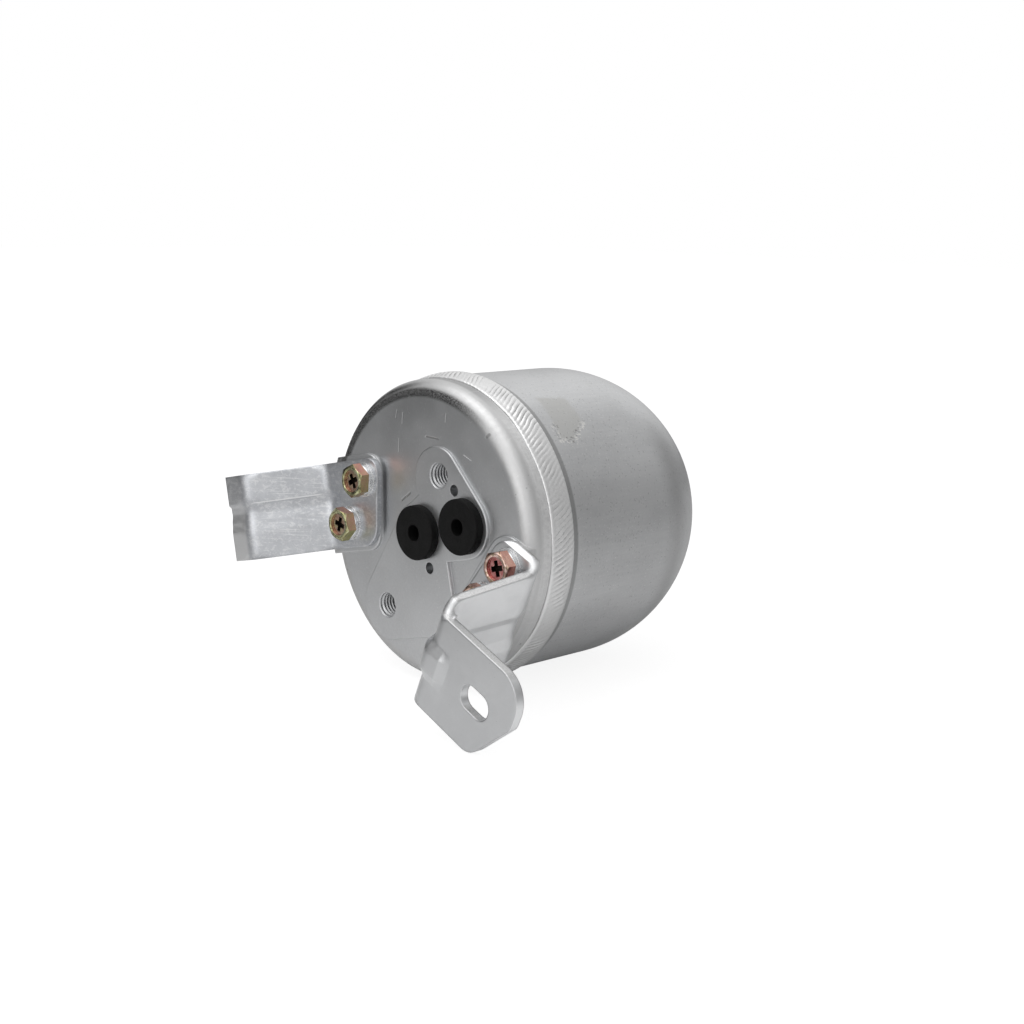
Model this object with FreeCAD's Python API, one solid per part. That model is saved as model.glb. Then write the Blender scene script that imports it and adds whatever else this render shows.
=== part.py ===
"""Receiver drier for a vehicle air-conditioning circuit, lying on its side.

A drawn aluminium canister is welded to a forged aluminium header. The header has a raised
connection pad with two plugged ports, two tapped holes and two dowel holes, and two bosses
that each carry a pressed sheet bracket on two screws.

Frame, in millimetres: the canister's axis is the Y axis, the header faces -Y, the domed end
points along +Y and +Z is up. The pieces are built with the connection pad's face in the plane
y = 0. The last step moves them along Y, so that the origin lies halfway along the
canister's straight wall.
"""
import FreeCAD, Part
import math
import os

# Canister
body_radius = 50.0
body_wall = 3.0
body_length = 98.7
dome_rise = 40.5
dome_flat_radius = 19.5
dome_end_bend = 25.0
dome_end_wall = 3.5

# Header
header_step = 0.6
header_radius = body_radius - header_step
header_rim_radius = 5.0
pad_rise = 1.2
pad_edge_radius = 0.5
joint_y = 14.0
spigot_end_y = 24.0
spigot_clearance = 0.15
header_roll = 14.0
boss_rim_step = 0.8
boss_reach = header_radius - boss_rim_step

# Weld bead between header and canister
weld_start_y = 9.6
weld_end_y = 18.5
weld_crest_y = 17.3
weld_crown = 1.15
weld_root_face = 0.6
weld_back_share = 0.72

# Ports, with the outlet near the axis and the inlet beside it, in the header's own turned frame
outlet_xz = (-1.1, 0.1)
inlet_xz = (20.4, 0.1)
port_radius = 7.2
port_depth = 11.0
port_chamfer = 0.6
inlet_duct_radius = 4.5

# Rubber plugs
plug_flange_radius = 9.0
plug_flange_height = 3.0
plug_stem_radius = 6.9
plug_stem_length = 9.0
plug_rib_height = 0.25
plug_rib_width = 1.0
plug_hole_radius = 2.75
plug_hole_depth = 8.0
plug_edge_radius = 0.5

# Tapped connection holes and dowel holes in the pad, in the header's frame
tapped_xz = ((12.0, 17.1), (-23.7, -22.7))
tapped_radius = 4.0
tapped_depth = 16.0
tapped_chamfer = 0.35
dowel_xz = ((18.3, 11.7), (0.8, -11.9))
dowel_radius = 1.9
dowel_depth = 6.0

# Raised connection pad outline, in the header's frame
upper_lobe_xz = (10.6, 16.0)
upper_lobe_radius = 10.8
inlet_lobe_radius = 10.8
lower_lobe_radius = 11.9
pad_step_x = 9.8
pad_notch_xz = (-3.0, 10.6)
pad_shoulder_xz = (-8.8, 8.4)

# Screws, M6 with a dished hexagon head
screw_radius = 3.0
screw_length = 14.0
thread_clearance = 0.05
screw_hole_spare = 3.0
head_flats = 10.0
head_height = 3.5
head_chamfer = 0.7
dish_radius = 3.7
dish_depth = 0.7
cross_arm_length = 5.0
cross_arm_width = 1.7
cross_depth = 1.9
bracket_hole_clearance = 0.4

# Washers
flat_washer_radius = 5.8
flat_washer_thickness = 1.0
spring_washer_radius = 5.2
spring_washer_thickness = 1.4
spring_washer_gap = 0.9
washer_bore_clearance = 0.25

# Side bracket, p along the arm and q across it, in a frame turned to the arm's direction.
# Insets are measured inwards from the bosses' outer edge.
side_thickness = 2.0
side_turn = 178.6
side_q_low = -26.4
side_q_high = 3.1
side_edge_inset_low = 33.1
side_edge_inset_high = 26.5
side_edge_p_low = boss_reach - side_edge_inset_low
side_edge_p_high = boss_reach - side_edge_inset_high
side_corner_radius = 6.5
side_bend_inset = 3.7
side_bend_p = boss_reach - side_bend_inset
side_arm_reach = 20.3
side_arm_angle = 45.0
side_lip_length = 10.3
side_lip_end_p = side_bend_p + side_arm_reach + side_lip_length
side_bend_radius = 2.2
side_inner_screw_inset = 24.9
side_outer_screw_inset = 14.6
side_inner_screw_q = -19.4
side_outer_screw_q = -5.5
side_rib_q = -10.4
side_rib_half_top = 6.0
side_rib_half_floor = 3.2
side_rib_depth = 1.0
side_rib_run_in = 7.4
side_rib_start_p = side_bend_p - side_rib_run_in

# Foot bracket, p outwards and q along its bends
foot_thickness = 3.0
foot_turn = -23.0
foot_reach_y = 34.3
foot_outer_screw_inset = 7.1
foot_inner_screw_inset = 11.6
foot_outer_screw_q = 14.2
foot_inner_screw_q = -1.2
foot_bend_gap = 5.3
foot_bend_p = boss_reach - foot_outer_screw_inset + flat_washer_radius + foot_bend_gap
foot_lean = 5.5
foot_bend_radius = 2.5
foot_plate_length = 34.6
foot_plate_end_p = foot_bend_p + foot_plate_length
foot_plate_q_high = 7.7
foot_plate_q_low = -23.9
foot_end_radius = 10.0
foot_tip_radius = 7.0
foot_heel_cut = 3.0
foot_tip_run = 23.7
foot_tip_corner_p = foot_bend_p + foot_tip_run
foot_flank_q = -6.3
foot_flank_radius = 4.0
foot_base_q_high = 21.2
foot_base_q_low = -15.5
foot_base_edge_inset_high = 13.8
foot_base_edge_inset_low = 24.1
foot_base_edge_p_high = boss_reach - foot_base_edge_inset_high
foot_base_edge_p_low = boss_reach - foot_base_edge_inset_low
foot_base_corner_radius = 7.0
foot_inner_corner_radius = 3.0
foot_web_top_y = 5.0
foot_web_top_q = 19.0
foot_web_shoulder_y = 29.5
foot_web_shoulder_q = 11.3
foot_slot_run = 19.1
foot_slot_q = -8.0
foot_slot_length = 12.2
foot_slot_width = 8.0
foot_rib_q_base = -1.0
foot_rib_q_plate = -8.2
foot_rib_half_top = 6.4
foot_rib_half_floor = 3.2
foot_rib_depth = 1.3
foot_rib_crest_end = 7.5
foot_rib_run_out = 3.5
foot_flat_lap = 1.0

# Bosses under the brackets
side_boss_margin_end = -1.0
side_boss_margin_low = 1.7
side_boss_margin_high = 1.6
side_boss_corner_radius = 6.5
foot_boss_margin_edge_low = 2.3
foot_boss_margin_edge_high = 4.1
foot_boss_margin_low = 0.6
foot_boss_margin_high = -0.3
foot_boss_corner_radius = 9.0
boss_relief = 0.4
boss_relief_corner_radius = 1.5

# How far blanks and cutters run past the outlines that trim them
overrun = 8.0

# Pieces inside the canister
seat_clearance = 0.3
plate_thickness = 1.2
plate_hole_radius = 3.0
plate_hole_rings = ((17.0, 8), (33.0, 12))
plate_rim_height = 2.5
filter_thickness = 4.0
bed_length = 16.0
tube_outer_radius = 4.0
tube_inner_radius = 3.0
tube_hole_clearance = 0.2
tube_end_gap = 6.0
strainer_radius = 7.0
strainer_length = 9.0
strainer_wall = 0.8
strainer_window_count = 6
strainer_window_height = 5.0
strainer_window_width = 3.0
spring_ring_radius = 40.0
spring_ring_width = 7.0
spring_thickness = 0.8
spring_finger_count = 6
spring_finger_width = 8.0
spring_finger_run = 14.0
spring_finger_pad = 5.0
spring_bend_radius = 2.0

Y_AXIS = FreeCAD.Vector(0, 1, 0)
TURN_AXIS = FreeCAD.Vector(0, -1, 0)
ORIGIN = FreeCAD.Vector(0, 0, 0)
header_face_y = pad_rise
inner_radius = body_radius - body_wall
root_radius = inner_radius + weld_root_face
dome_start_y = body_length - dome_rise
side_screws_pq = ((boss_reach - side_inner_screw_inset, side_inner_screw_q),
                  (boss_reach - side_outer_screw_inset, side_outer_screw_q))
foot_screws_pq = ((boss_reach - foot_outer_screw_inset, foot_outer_screw_q),
                  (boss_reach - foot_inner_screw_inset, foot_inner_screw_q))
inner_dome_rise = dome_rise - dome_end_wall
inner_end_bend = dome_end_bend - body_wall


def vec(x, y, z):
    return FreeCAD.Vector(x, y, z)


def turned(shape, degrees):
    """Turn about the canister axis, so that +X moves towards +Z."""
    result = shape.copy()
    result.rotate(ORIGIN, TURN_AXIS, degrees)
    return result


def disc(radius, y_front, y_rear, x=0.0, z=0.0):
    """A round bar along the Y axis between two planes."""
    return Part.makeCylinder(radius, y_rear - y_front, vec(x, y_front, z), Y_AXIS)


def cone(radius_front, radius_rear, y_front, y_rear, x=0.0, z=0.0):
    return Part.makeCone(radius_front, radius_rear, y_rear - y_front, vec(x, y_front, z), Y_AXIS)


def revolved(edges):
    """Revolve a closed outline in the plane z = 0 about the Y axis."""
    face = Part.Face(Part.Wire(edges))
    return face.revolve(ORIGIN, Y_AXIS, 360)


def line(a, b):
    return Part.LineSegment(a, b).toShape()


def arc(a, middle, b):
    return Part.Arc(a, middle, b).toShape()


def chain(points):
    """Straight edges through the points, in order."""
    return [line(a, b) for a, b in zip(points[:-1], points[1:])]


def wide_arc_radius(run, rise, end_bend):
    """The arc off the wall that runs smoothly into the tighter bend at the dome's flat end."""
    return (run * run + rise * rise - 2 * rise * end_bend) / (2 * (run - end_bend))


def dome_profile(wall_radius, start_y, rise, end_bend):
    """A dome's section: a wide arc off the wall, then a tight bend into the flat end."""
    wide = wide_arc_radius(wall_radius - dome_flat_radius, rise, end_bend)
    wide_centre = vec(wall_radius - wide, start_y, 0)
    bend_centre = vec(dome_flat_radius, start_y + rise - end_bend, 0)
    run = bend_centre - wide_centre
    turn = math.atan2(run.y, run.x)

    def at(centre, radius, angle):
        return centre + vec(radius * math.cos(angle), radius * math.sin(angle), 0)

    joint = at(bend_centre, end_bend, turn)
    first = arc(at(wide_centre, wide, 0), at(wide_centre, wide, turn / 2), joint)
    middle = at(bend_centre, end_bend, (turn + math.pi / 2) / 2)
    return [first, arc(joint, middle, at(bend_centre, end_bend, math.pi / 2))]


def rounded_outline(corners, y):
    """A closed wire in the plane y from (u, w, radius) corners, with u along X and w along Z."""
    count = len(corners)
    starts = []
    ends = []
    middles = []
    for index, (u, w, radius) in enumerate(corners):
        here = vec(u, y, w)
        before = vec(corners[index - 1][0], y, corners[index - 1][1])
        after = vec(corners[(index + 1) % count][0], y, corners[(index + 1) % count][1])
        to_before = (before - here).normalize()
        to_after = (after - here).normalize()
        half = to_before.getAngle(to_after) / 2
        reach = radius / math.tan(half)
        bisector = (to_before + to_after).normalize()
        starts.append(here + to_before * reach)
        ends.append(here + to_after * reach)
        middles.append(here + bisector * (radius / math.sin(half) - radius))
    edges = []
    for index in range(count):
        if corners[index][2] > 0:
            edges.append(arc(starts[index], middles[index], ends[index]))
        following = (index + 1) % count
        edges.append(line(ends[index], starts[following]))
    return Part.Wire(edges)


def prism(wire, y_rear):
    """Extrude a flat wire that lies in a plane of constant y back to y_rear."""
    face = Part.Face(wire)
    return face.extrude(vec(0, y_rear - wire.BoundBox.YMin, 0))


def fillet_face_edges(shape, y, radius):
    """Round the edges that lie in the plane y, where the shape allows it."""
    edges = [edge for edge in shape.Edges if abs(edge.BoundBox.YMin - y) < 1e-6
             and abs(edge.BoundBox.YMax - y) < 1e-6]
    return shape.makeFillet(radius, edges)


def offset_vertices(points, distance):
    """Move a (p, y) polyline sideways, with mitred corners."""
    moved = []
    normals = []
    for (p0, y0), (p1, y1) in zip(points[:-1], points[1:]):
        length = math.hypot(p1 - p0, y1 - y0)
        normals.append((-(y1 - y0) / length, (p1 - p0) / length))
    for index, (p, y) in enumerate(points):
        first = normals[max(index - 1, 0)]
        second = normals[min(index, len(normals) - 1)]
        scale = distance / (1 + first[0] * second[0] + first[1] * second[1])
        moved.append((p + (first[0] + second[0]) * scale, y + (first[1] + second[1]) * scale))
    return moved


def strip_side(points, radii, distance, q_of_y):
    """Edges along one face of a bent strip, with its bends as arcs."""
    moved = offset_vertices(points, distance)
    edges = []
    last = vec(moved[0][0], moved[0][1], q_of_y(moved[0][1]))
    for index in range(1, len(moved) - 1):
        here = vec(moved[index][0], moved[index][1], q_of_y(moved[index][1]))
        if radii[index] == 0:
            edges.append(line(last, here))
            last = here
            continue
        before = vec(moved[index - 1][0], moved[index - 1][1], q_of_y(moved[index - 1][1]))
        after = vec(moved[index + 1][0], moved[index + 1][1], q_of_y(moved[index + 1][1]))
        to_before = (before - here).normalize()
        to_after = (after - here).normalize()
        turn = (here - before).x * (after - here).y - (here - before).y * (after - here).x
        radius = radii[index] - math.copysign(distance, turn * distance)
        half = to_before.getAngle(to_after) / 2
        reach = radius / math.tan(half)
        bisector = (to_before + to_after).normalize()
        start = here + to_before * reach
        end = here + to_after * reach
        middle = here + bisector * (radius / math.sin(half) - radius)
        edges.append(line(last, start))
        edges.append(arc(start, middle, end))
        last = end
    edges.append(line(last, vec(moved[-1][0], moved[-1][1], q_of_y(moved[-1][1]))))
    return edges


def strip_section(points, radii, thickness, q_of_y):
    """The closed outline of a bent strip's section, each point placed along Z by q_of_y."""
    upper = strip_side(points, radii, thickness / 2, q_of_y)
    lower = strip_side(points, radii, -thickness / 2, q_of_y)
    start_cap = line(lower[0].Vertexes[0].Point, upper[0].Vertexes[0].Point)
    end_cap = line(upper[-1].Vertexes[-1].Point, lower[-1].Vertexes[-1].Point)
    return Part.Wire(upper + [end_cap] + lower[::-1] + [start_cap])


def ribbed_strip(plain, ribbed, radii, thickness, q_limits, rib_centre, half_top, half_floor):
    """A bent strip with a pressed rib along it, as a loft through sections across the strip.

    plain and ribbed are the (p, y) centre lines outside and inside the rib, and rib_centre
    gives the rib's middle for each y.
    """
    stations = [
        (plain, lambda y: q_limits[0]),
        (plain, lambda y: rib_centre(y) - half_top),
        (ribbed, lambda y: rib_centre(y) - half_floor),
        (ribbed, lambda y: rib_centre(y) + half_floor),
        (plain, lambda y: rib_centre(y) + half_top),
        (plain, lambda y: q_limits[1]),
    ]
    wires = [strip_section(points, radii, thickness, place) for points, place in stations]
    return Part.makeLoft(wires, True, True)


def make_canister():
    """The drawn cup: a straight wall bevelled for the weld, a dome and a flat end."""
    edges = chain([vec(root_radius, joint_y, 0),
                   vec(body_radius, weld_end_y, 0),
                   vec(body_radius, dome_start_y, 0)])
    edges += dome_profile(body_radius, dome_start_y, dome_rise, dome_end_bend)
    edges += chain([vec(dome_flat_radius, body_length, 0),
                    vec(0, body_length, 0),
                    vec(0, body_length - dome_end_wall, 0),
                    vec(dome_flat_radius, body_length - dome_end_wall, 0)])
    edges += dome_profile(inner_radius, dome_start_y, inner_dome_rise, inner_end_bend)[::-1]
    edges += chain([vec(inner_radius, dome_start_y, 0),
                    vec(inner_radius, joint_y, 0),
                    vec(root_radius, joint_y, 0)])
    return revolved(edges)


def make_weld_bead():
    """The bead fills the bevels and stands proud, with its crest near the canister."""
    crest_radius = body_radius + weld_crown
    toe = vec(header_radius, weld_start_y, 0)
    crest = vec(crest_radius, weld_crest_y, 0)
    heel = vec(body_radius, weld_end_y, 0)
    rise = crest_radius - header_radius
    back = vec(header_radius + weld_back_share * rise, 0.5 * (weld_start_y + weld_crest_y), 0)
    shoulder = vec(crest_radius - 0.3 * weld_crown, 0.5 * (weld_crest_y + weld_end_y) + 0.15, 0)
    edges = chain([heel, vec(root_radius, joint_y, 0), toe])
    edges.append(arc(toe, back, crest))
    edges.append(arc(crest, shoulder, heel))
    return revolved(edges)


def header_blank():
    """The turned disc with its rounded rim, bevel for the weld and spigot into the canister."""
    spigot_radius = inner_radius - spigot_clearance
    rim_start = vec(header_radius - header_rim_radius, header_face_y, 0)
    rim_end = vec(header_radius, header_face_y + header_rim_radius, 0)
    reach = header_rim_radius * (1 - math.sqrt(0.5))
    rim_middle = vec(header_radius - reach, header_face_y + reach, 0)
    edges = [line(vec(0, header_face_y, 0), rim_start), arc(rim_start, rim_middle, rim_end)]
    edges += chain([rim_end,
                    vec(header_radius, weld_start_y, 0),
                    vec(root_radius, joint_y, 0),
                    vec(spigot_radius, joint_y, 0),
                    vec(spigot_radius, spigot_end_y, 0),
                    vec(0, spigot_end_y, 0),
                    vec(0, header_face_y, 0)])
    return revolved(edges)


def on_circle(centre, radius, degrees, y):
    angle = math.radians(degrees)
    return vec(centre[0] + radius * math.cos(angle), y, centre[1] + radius * math.sin(angle))


def lobe(centre, radius, start_degrees, end_degrees, y):
    middle = 0.5 * (start_degrees + end_degrees)
    return arc(on_circle(centre, radius, start_degrees, y), on_circle(centre, radius, middle, y),
               on_circle(centre, radius, end_degrees, y))


def connection_pad():
    """The raised pad, with lobes round the tapped holes and the inlet."""
    y = 0.0
    lower = tapped_xz[1]
    shoulder = vec(pad_shoulder_xz[0], y, pad_shoulder_xz[1])
    notch = vec(pad_notch_xz[0], y, pad_notch_xz[1])
    centre_run = (inlet_xz[0] - upper_lobe_xz[0], inlet_xz[1] - upper_lobe_xz[1])
    spread = math.hypot(centre_run[0], centre_run[1])
    tangent = math.degrees(math.atan2(centre_run[1], centre_run[0])) + 90
    tangent += math.degrees(math.asin((inlet_lobe_radius - upper_lobe_radius) / spread))
    left_run = vec(shoulder.x - lower[0], 0, shoulder.z - lower[1])
    left_tangent = math.degrees(math.atan2(left_run.z, left_run.x))
    left_tangent += math.degrees(math.acos(lower_lobe_radius / left_run.Length))
    step_top = vec(pad_step_x, y, inlet_xz[1] - inlet_lobe_radius)
    step_bottom = vec(pad_step_x, y, lower[1] - lower_lobe_radius)
    upper_start = 200.0
    edges = [
        line(on_circle(lower, lower_lobe_radius, left_tangent, y), shoulder),
        line(shoulder, notch),
        line(notch, on_circle(upper_lobe_xz, upper_lobe_radius, upper_start, y)),
        lobe(upper_lobe_xz, upper_lobe_radius, upper_start, tangent, y),
        line(on_circle(upper_lobe_xz, upper_lobe_radius, tangent, y),
             on_circle(inlet_xz, inlet_lobe_radius, tangent, y)),
        lobe(inlet_xz, inlet_lobe_radius, tangent, -90, y),
        line(on_circle(inlet_xz, inlet_lobe_radius, -90, y), step_top),
        line(step_top, step_bottom),
        line(step_bottom, on_circle(lower, lower_lobe_radius, 270, y)),
        lobe(lower, lower_lobe_radius, 270, left_tangent, y),
    ]
    pad = prism(Part.Wire(edges), header_face_y + pad_edge_radius)
    return fillet_face_edges(pad, 0.0, pad_edge_radius)


def boss(corners):
    """A bracket boss: an outline that runs out over the rim and is trimmed round there."""
    block = prism(rounded_outline(corners, 0.0), header_face_y + header_rim_radius)
    block = block.common(disc(boss_reach, 0.0, header_face_y + header_rim_radius))
    return fillet_face_edges(block, 0.0, pad_edge_radius)


def side_boss():
    far = boss_reach + header_rim_radius
    low = side_q_low - side_boss_margin_low
    high = side_q_high + side_boss_margin_high
    corners = [
        (side_edge_p_low - side_boss_margin_end, low, side_boss_corner_radius),
        (far, low, 0),
        (far, high, 0),
        (side_edge_p_high - side_boss_margin_end, high, side_boss_corner_radius),
    ]
    return turned(boss(corners), header_roll + side_turn)


def foot_boss():
    far = boss_reach + header_rim_radius
    low = foot_base_q_low - foot_boss_margin_low
    high = foot_base_q_high + foot_boss_margin_high
    corners = [
        (foot_base_edge_p_low - foot_boss_margin_edge_low, low, foot_inner_corner_radius),
        (far, low, 0),
        (far, high, 0),
        (foot_base_edge_p_high - foot_boss_margin_edge_high, high, foot_boss_corner_radius),
    ]
    return turned(boss(corners), foot_turn)


def tapped_hole(radius, depth, chamfer, x, z):
    hole = disc(radius, -1.0, depth, x, z)
    tip = cone(radius, 0.0, depth, depth + 0.6 * radius, x, z)
    mouth = cone(radius + chamfer + 1.0, radius, -1.0, chamfer, x, z)
    return hole.fuse([tip, mouth])


def dowel_hole(x, z):
    hole = disc(dowel_radius, -1.0, dowel_depth, x, z)
    tip = cone(dowel_radius, 0.0, dowel_depth, dowel_depth + 0.5 * dowel_radius, x, z)
    return hole.fuse(tip)


def port(x, z, duct_radius):
    """A plugged connection port, with its seat and the duct into the canister."""
    seat = disc(port_radius, -1.0, port_depth, x, z)
    mouth = cone(port_radius + port_chamfer + 1.0, port_radius, -1.0, port_chamfer, x, z)
    floor = cone(port_radius, duct_radius, port_depth, port_depth + 1.5, x, z)
    duct = disc(duct_radius, port_depth, spigot_end_y + 1.0, x, z)
    return seat.fuse([mouth, floor, duct])


def bracket_screw_holes(places, turn):
    hole_depth = screw_length - flat_washer_thickness - spring_washer_thickness
    hole_depth += screw_hole_spare - min(side_thickness, foot_thickness)
    holes = [disc(screw_radius + thread_clearance, -1.0, hole_depth, p, q) for p, q in places]
    return [turned(hole, turn) for hole in holes]


def side_rib_relief():
    """Room in the boss for the back of the side bracket's rib."""
    depth = side_rib_depth + boss_relief
    half = side_rib_half_top + boss_relief
    corners = [
        (side_rib_start_p - boss_relief, side_rib_q - half, boss_relief_corner_radius),
        (boss_reach + header_rim_radius, side_rib_q - half, 0),
        (boss_reach + header_rim_radius, side_rib_q + half, 0),
        (side_rib_start_p - boss_relief, side_rib_q + half, boss_relief_corner_radius),
    ]
    cut = prism(rounded_outline(corners, -1.0), depth)
    return turned(cut, header_roll + side_turn)


def make_header():
    body = header_blank()
    body = body.fuse([turned(connection_pad(), header_roll), side_boss(), foot_boss()])
    body = body.removeSplitter()
    cuts = [turned(port(outlet_xz[0], outlet_xz[1], tube_outer_radius), header_roll)]
    cuts.append(turned(port(inlet_xz[0], inlet_xz[1], inlet_duct_radius), header_roll))
    for x, z in tapped_xz:
        cuts.append(turned(tapped_hole(tapped_radius, tapped_depth, tapped_chamfer, x, z), header_roll))
    for x, z in dowel_xz:
        cuts.append(turned(dowel_hole(x, z), header_roll))
    cuts += bracket_screw_holes(side_screws_pq, header_roll + side_turn)
    cuts += bracket_screw_holes(foot_screws_pq, foot_turn)
    cuts.append(side_rib_relief())
    return body.cut(cuts)


def make_plug(x, z):
    """A push-in rubber plug: a flange, a stem with two sealing ribs and a blind hole."""
    flange = disc(plug_flange_radius, -plug_flange_height, 0.0, x, z)
    flange = fillet_face_edges(flange, -plug_flange_height, plug_edge_radius)
    stem = disc(plug_stem_radius, 0.0, plug_stem_length, x, z)
    ribs = []
    for share in (0.4, 0.8):
        middle = share * plug_stem_length
        radius = plug_stem_radius + plug_rib_height
        ribs.append(disc(radius, middle - plug_rib_width / 2, middle + plug_rib_width / 2, x, z))
    hole = disc(plug_hole_radius, -plug_flange_height, plug_hole_depth - plug_flange_height, x, z)
    return turned(flange.fuse([stem] + ribs).cut(hole), header_roll)


def make_side_bracket():
    """A joggled arm: base plate, 45 degree arm and lip, with one rib pressed along it."""
    drop = side_arm_reach * math.tan(math.radians(side_arm_angle))
    middle_y = -side_thickness / 2
    arm_end = (side_bend_p + side_arm_reach, middle_y - drop)
    push = side_rib_depth / 2
    plain = [(side_edge_p_low - overrun, middle_y), (side_rib_start_p, middle_y),
             (side_bend_p, middle_y), arm_end, (side_lip_end_p, arm_end[1])]
    ribbed = [plain[0], plain[1], (side_bend_p + push, middle_y + side_rib_depth),
              (arm_end[0] + push, arm_end[1] + side_rib_depth),
              (side_lip_end_p, arm_end[1] + side_rib_depth)]
    bend = side_bend_radius + side_thickness / 2
    radii = [0, 0, bend, bend, 0]
    sheet = ribbed_strip(plain, ribbed, radii, side_thickness, (side_q_low, side_q_high),
                         lambda y: side_rib_q, side_rib_half_top, side_rib_half_floor)
    outline = [
        (side_edge_p_low, side_q_low, side_corner_radius),
        (side_lip_end_p + overrun, side_q_low, 0),
        (side_lip_end_p + overrun, side_q_high, 0),
        (side_edge_p_high, side_q_high, side_corner_radius),
    ]
    sheet = sheet.common(prism(rounded_outline(outline, -2 * drop), overrun))
    clearance_radius = screw_radius + bracket_hole_clearance
    holes = [disc(clearance_radius, -2 * side_thickness, 1.0, p, q) for p, q in side_screws_pq]
    return turned(sheet.cut(holes), header_roll + side_turn)


def foot_rib_centre(y):
    """The rib follows the web's slant from the base plate to the foot plate."""
    share = (-y - foot_thickness) / (foot_reach_y - 2 * foot_thickness)
    share = min(max(share, 0.0), 1.0)
    return foot_rib_q_base + share * (foot_rib_q_plate - foot_rib_q_base)


def foot_plate_outline():
    """The plate's free end: a round shoulder, a straight flank and a rounded tip."""
    inner_p = foot_bend_p - foot_lean - foot_thickness - overrun
    q_below = foot_plate_q_low - 2 * overrun
    q_above = foot_base_q_high + 2 * overrun
    return [
        (inner_p, q_below, 0),
        (inner_p, q_above, 0),
        (foot_bend_p, q_above, 0),
        (foot_bend_p, foot_plate_q_high, 0),
        (foot_plate_end_p, foot_plate_q_high, foot_end_radius),
        (foot_plate_end_p, foot_flank_q, foot_flank_radius),
        (foot_tip_corner_p, foot_plate_q_low, foot_tip_radius),
        (foot_bend_p, foot_plate_q_low, 0),
        (foot_bend_p, q_below, 0),
    ]


def foot_side_outline():
    """The bracket seen along p: how its width steps down from the base to the foot plate."""
    plate_back = foot_reach_y - foot_thickness
    in_front = -foot_reach_y - overrun
    return [
        (overrun, foot_base_q_high), (-foot_thickness / 3, foot_base_q_high),
        (-foot_web_top_y, foot_web_top_q), (-foot_web_shoulder_y, foot_web_shoulder_q),
        (-plate_back - foot_thickness / 3, foot_plate_q_high),
        (in_front, foot_plate_q_high), (in_front, foot_plate_q_low),
        (-foot_reach_y + foot_thickness / 3, foot_plate_q_low),
        (-plate_back + foot_heel_cut, foot_plate_q_low + foot_heel_cut),
        (-foot_thickness, foot_base_q_low), (overrun, foot_base_q_low),
    ]


def foot_base_outline():
    """The base plate's outline, open over the web, which the side outline trims."""
    web_p = foot_bend_p - foot_lean - foot_thickness
    return [
        (foot_base_edge_p_low, foot_base_q_low, foot_inner_corner_radius),
        (web_p, foot_base_q_low, 0),
        (web_p, foot_plate_q_low - overrun, 0),
        (foot_plate_end_p + overrun, foot_plate_q_low - overrun, 0),
        (foot_plate_end_p + overrun, foot_base_q_high, 0),
        (foot_base_edge_p_high, foot_base_q_high, foot_base_corner_radius),
    ]


def make_foot_bracket():
    """A Z-shaped bracket: base plate, slanted web and slotted foot plate, with one rib."""
    middle_base = -foot_thickness / 2
    middle_foot = -foot_reach_y + foot_thickness / 2
    web_end = foot_bend_p - foot_lean
    crest_end = web_end + foot_rib_crest_end
    run_out = crest_end + foot_rib_run_out
    loft_end = run_out + 2 * foot_flat_lap
    plain = [(foot_base_edge_p_low - overrun, middle_base), (foot_bend_p, middle_base),
             (web_end, middle_foot), (crest_end, middle_foot), (run_out, middle_foot),
             (loft_end, middle_foot)]
    push = foot_rib_depth
    ribbed = [plain[0], (foot_bend_p - push, middle_base), (web_end - push, middle_foot - push),
              (crest_end, middle_foot - push), (run_out, middle_foot), (loft_end, middle_foot)]
    bend = foot_bend_radius + foot_thickness / 2
    radii = [0, bend, bend, 0, 0, 0]
    limits = (foot_plate_q_low - overrun, foot_base_q_high + overrun)
    sheet = ribbed_strip(plain, ribbed, radii, foot_thickness, limits, foot_rib_centre,
                         foot_rib_half_top, foot_rib_half_floor)
    flat_start = run_out + foot_flat_lap
    flat = Part.makeBox(foot_plate_end_p + overrun - flat_start, foot_thickness, limits[1] - limits[0],
                        vec(flat_start, -foot_reach_y, limits[0]))
    sheet = sheet.fuse(flat)
    side_points = [vec(0, y, q) for y, q in foot_side_outline()]
    side_face = Part.Face(Part.Wire(chain(side_points + side_points[:1])))
    sheet = sheet.common(side_face.extrude(vec(foot_plate_end_p + 2 * overrun, 0, 0)))
    half_way = -0.5 * foot_reach_y
    base_zone = prism(rounded_outline(foot_base_outline(), half_way), overrun)
    foot_zone = prism(rounded_outline(foot_plate_outline(), -foot_reach_y - overrun), half_way)
    sheet = sheet.common(base_zone.fuse(foot_zone))
    clearance_radius = screw_radius + bracket_hole_clearance
    holes = [disc(clearance_radius, -2 * foot_thickness, 1.0, p, q) for p, q in foot_screws_pq]
    holes.append(foot_slot())
    return turned(sheet.cut(holes).removeSplitter(), foot_turn)


def foot_slot():
    """The mounting slot, long across the bends."""
    half_run = (foot_slot_length - foot_slot_width) / 2
    radius = foot_slot_width / 2
    centre_p = foot_bend_p + foot_slot_run
    front = -foot_reach_y - overrun
    back = -foot_reach_y + foot_thickness + overrun
    ends = [disc(radius, front, back, centre_p + side * half_run, foot_slot_q) for side in (-1, 1)]
    middle = Part.makeBox(2 * half_run, back - front, foot_slot_width,
                          vec(centre_p - half_run, front, foot_slot_q - radius))
    return ends[0].fuse([ends[1], middle])


def hexagon(flats, y_front, y_rear):
    """A hexagonal bar with two corners on the X axis."""
    corner = flats / math.sqrt(3)
    points = []
    for index in range(6):
        angle = math.radians(60 * index)
        points.append(vec(corner * math.cos(angle), y_front, corner * math.sin(angle)))
    return Part.Face(Part.Wire(chain(points + points[:1]))).extrude(vec(0, y_rear - y_front, 0))


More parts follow.
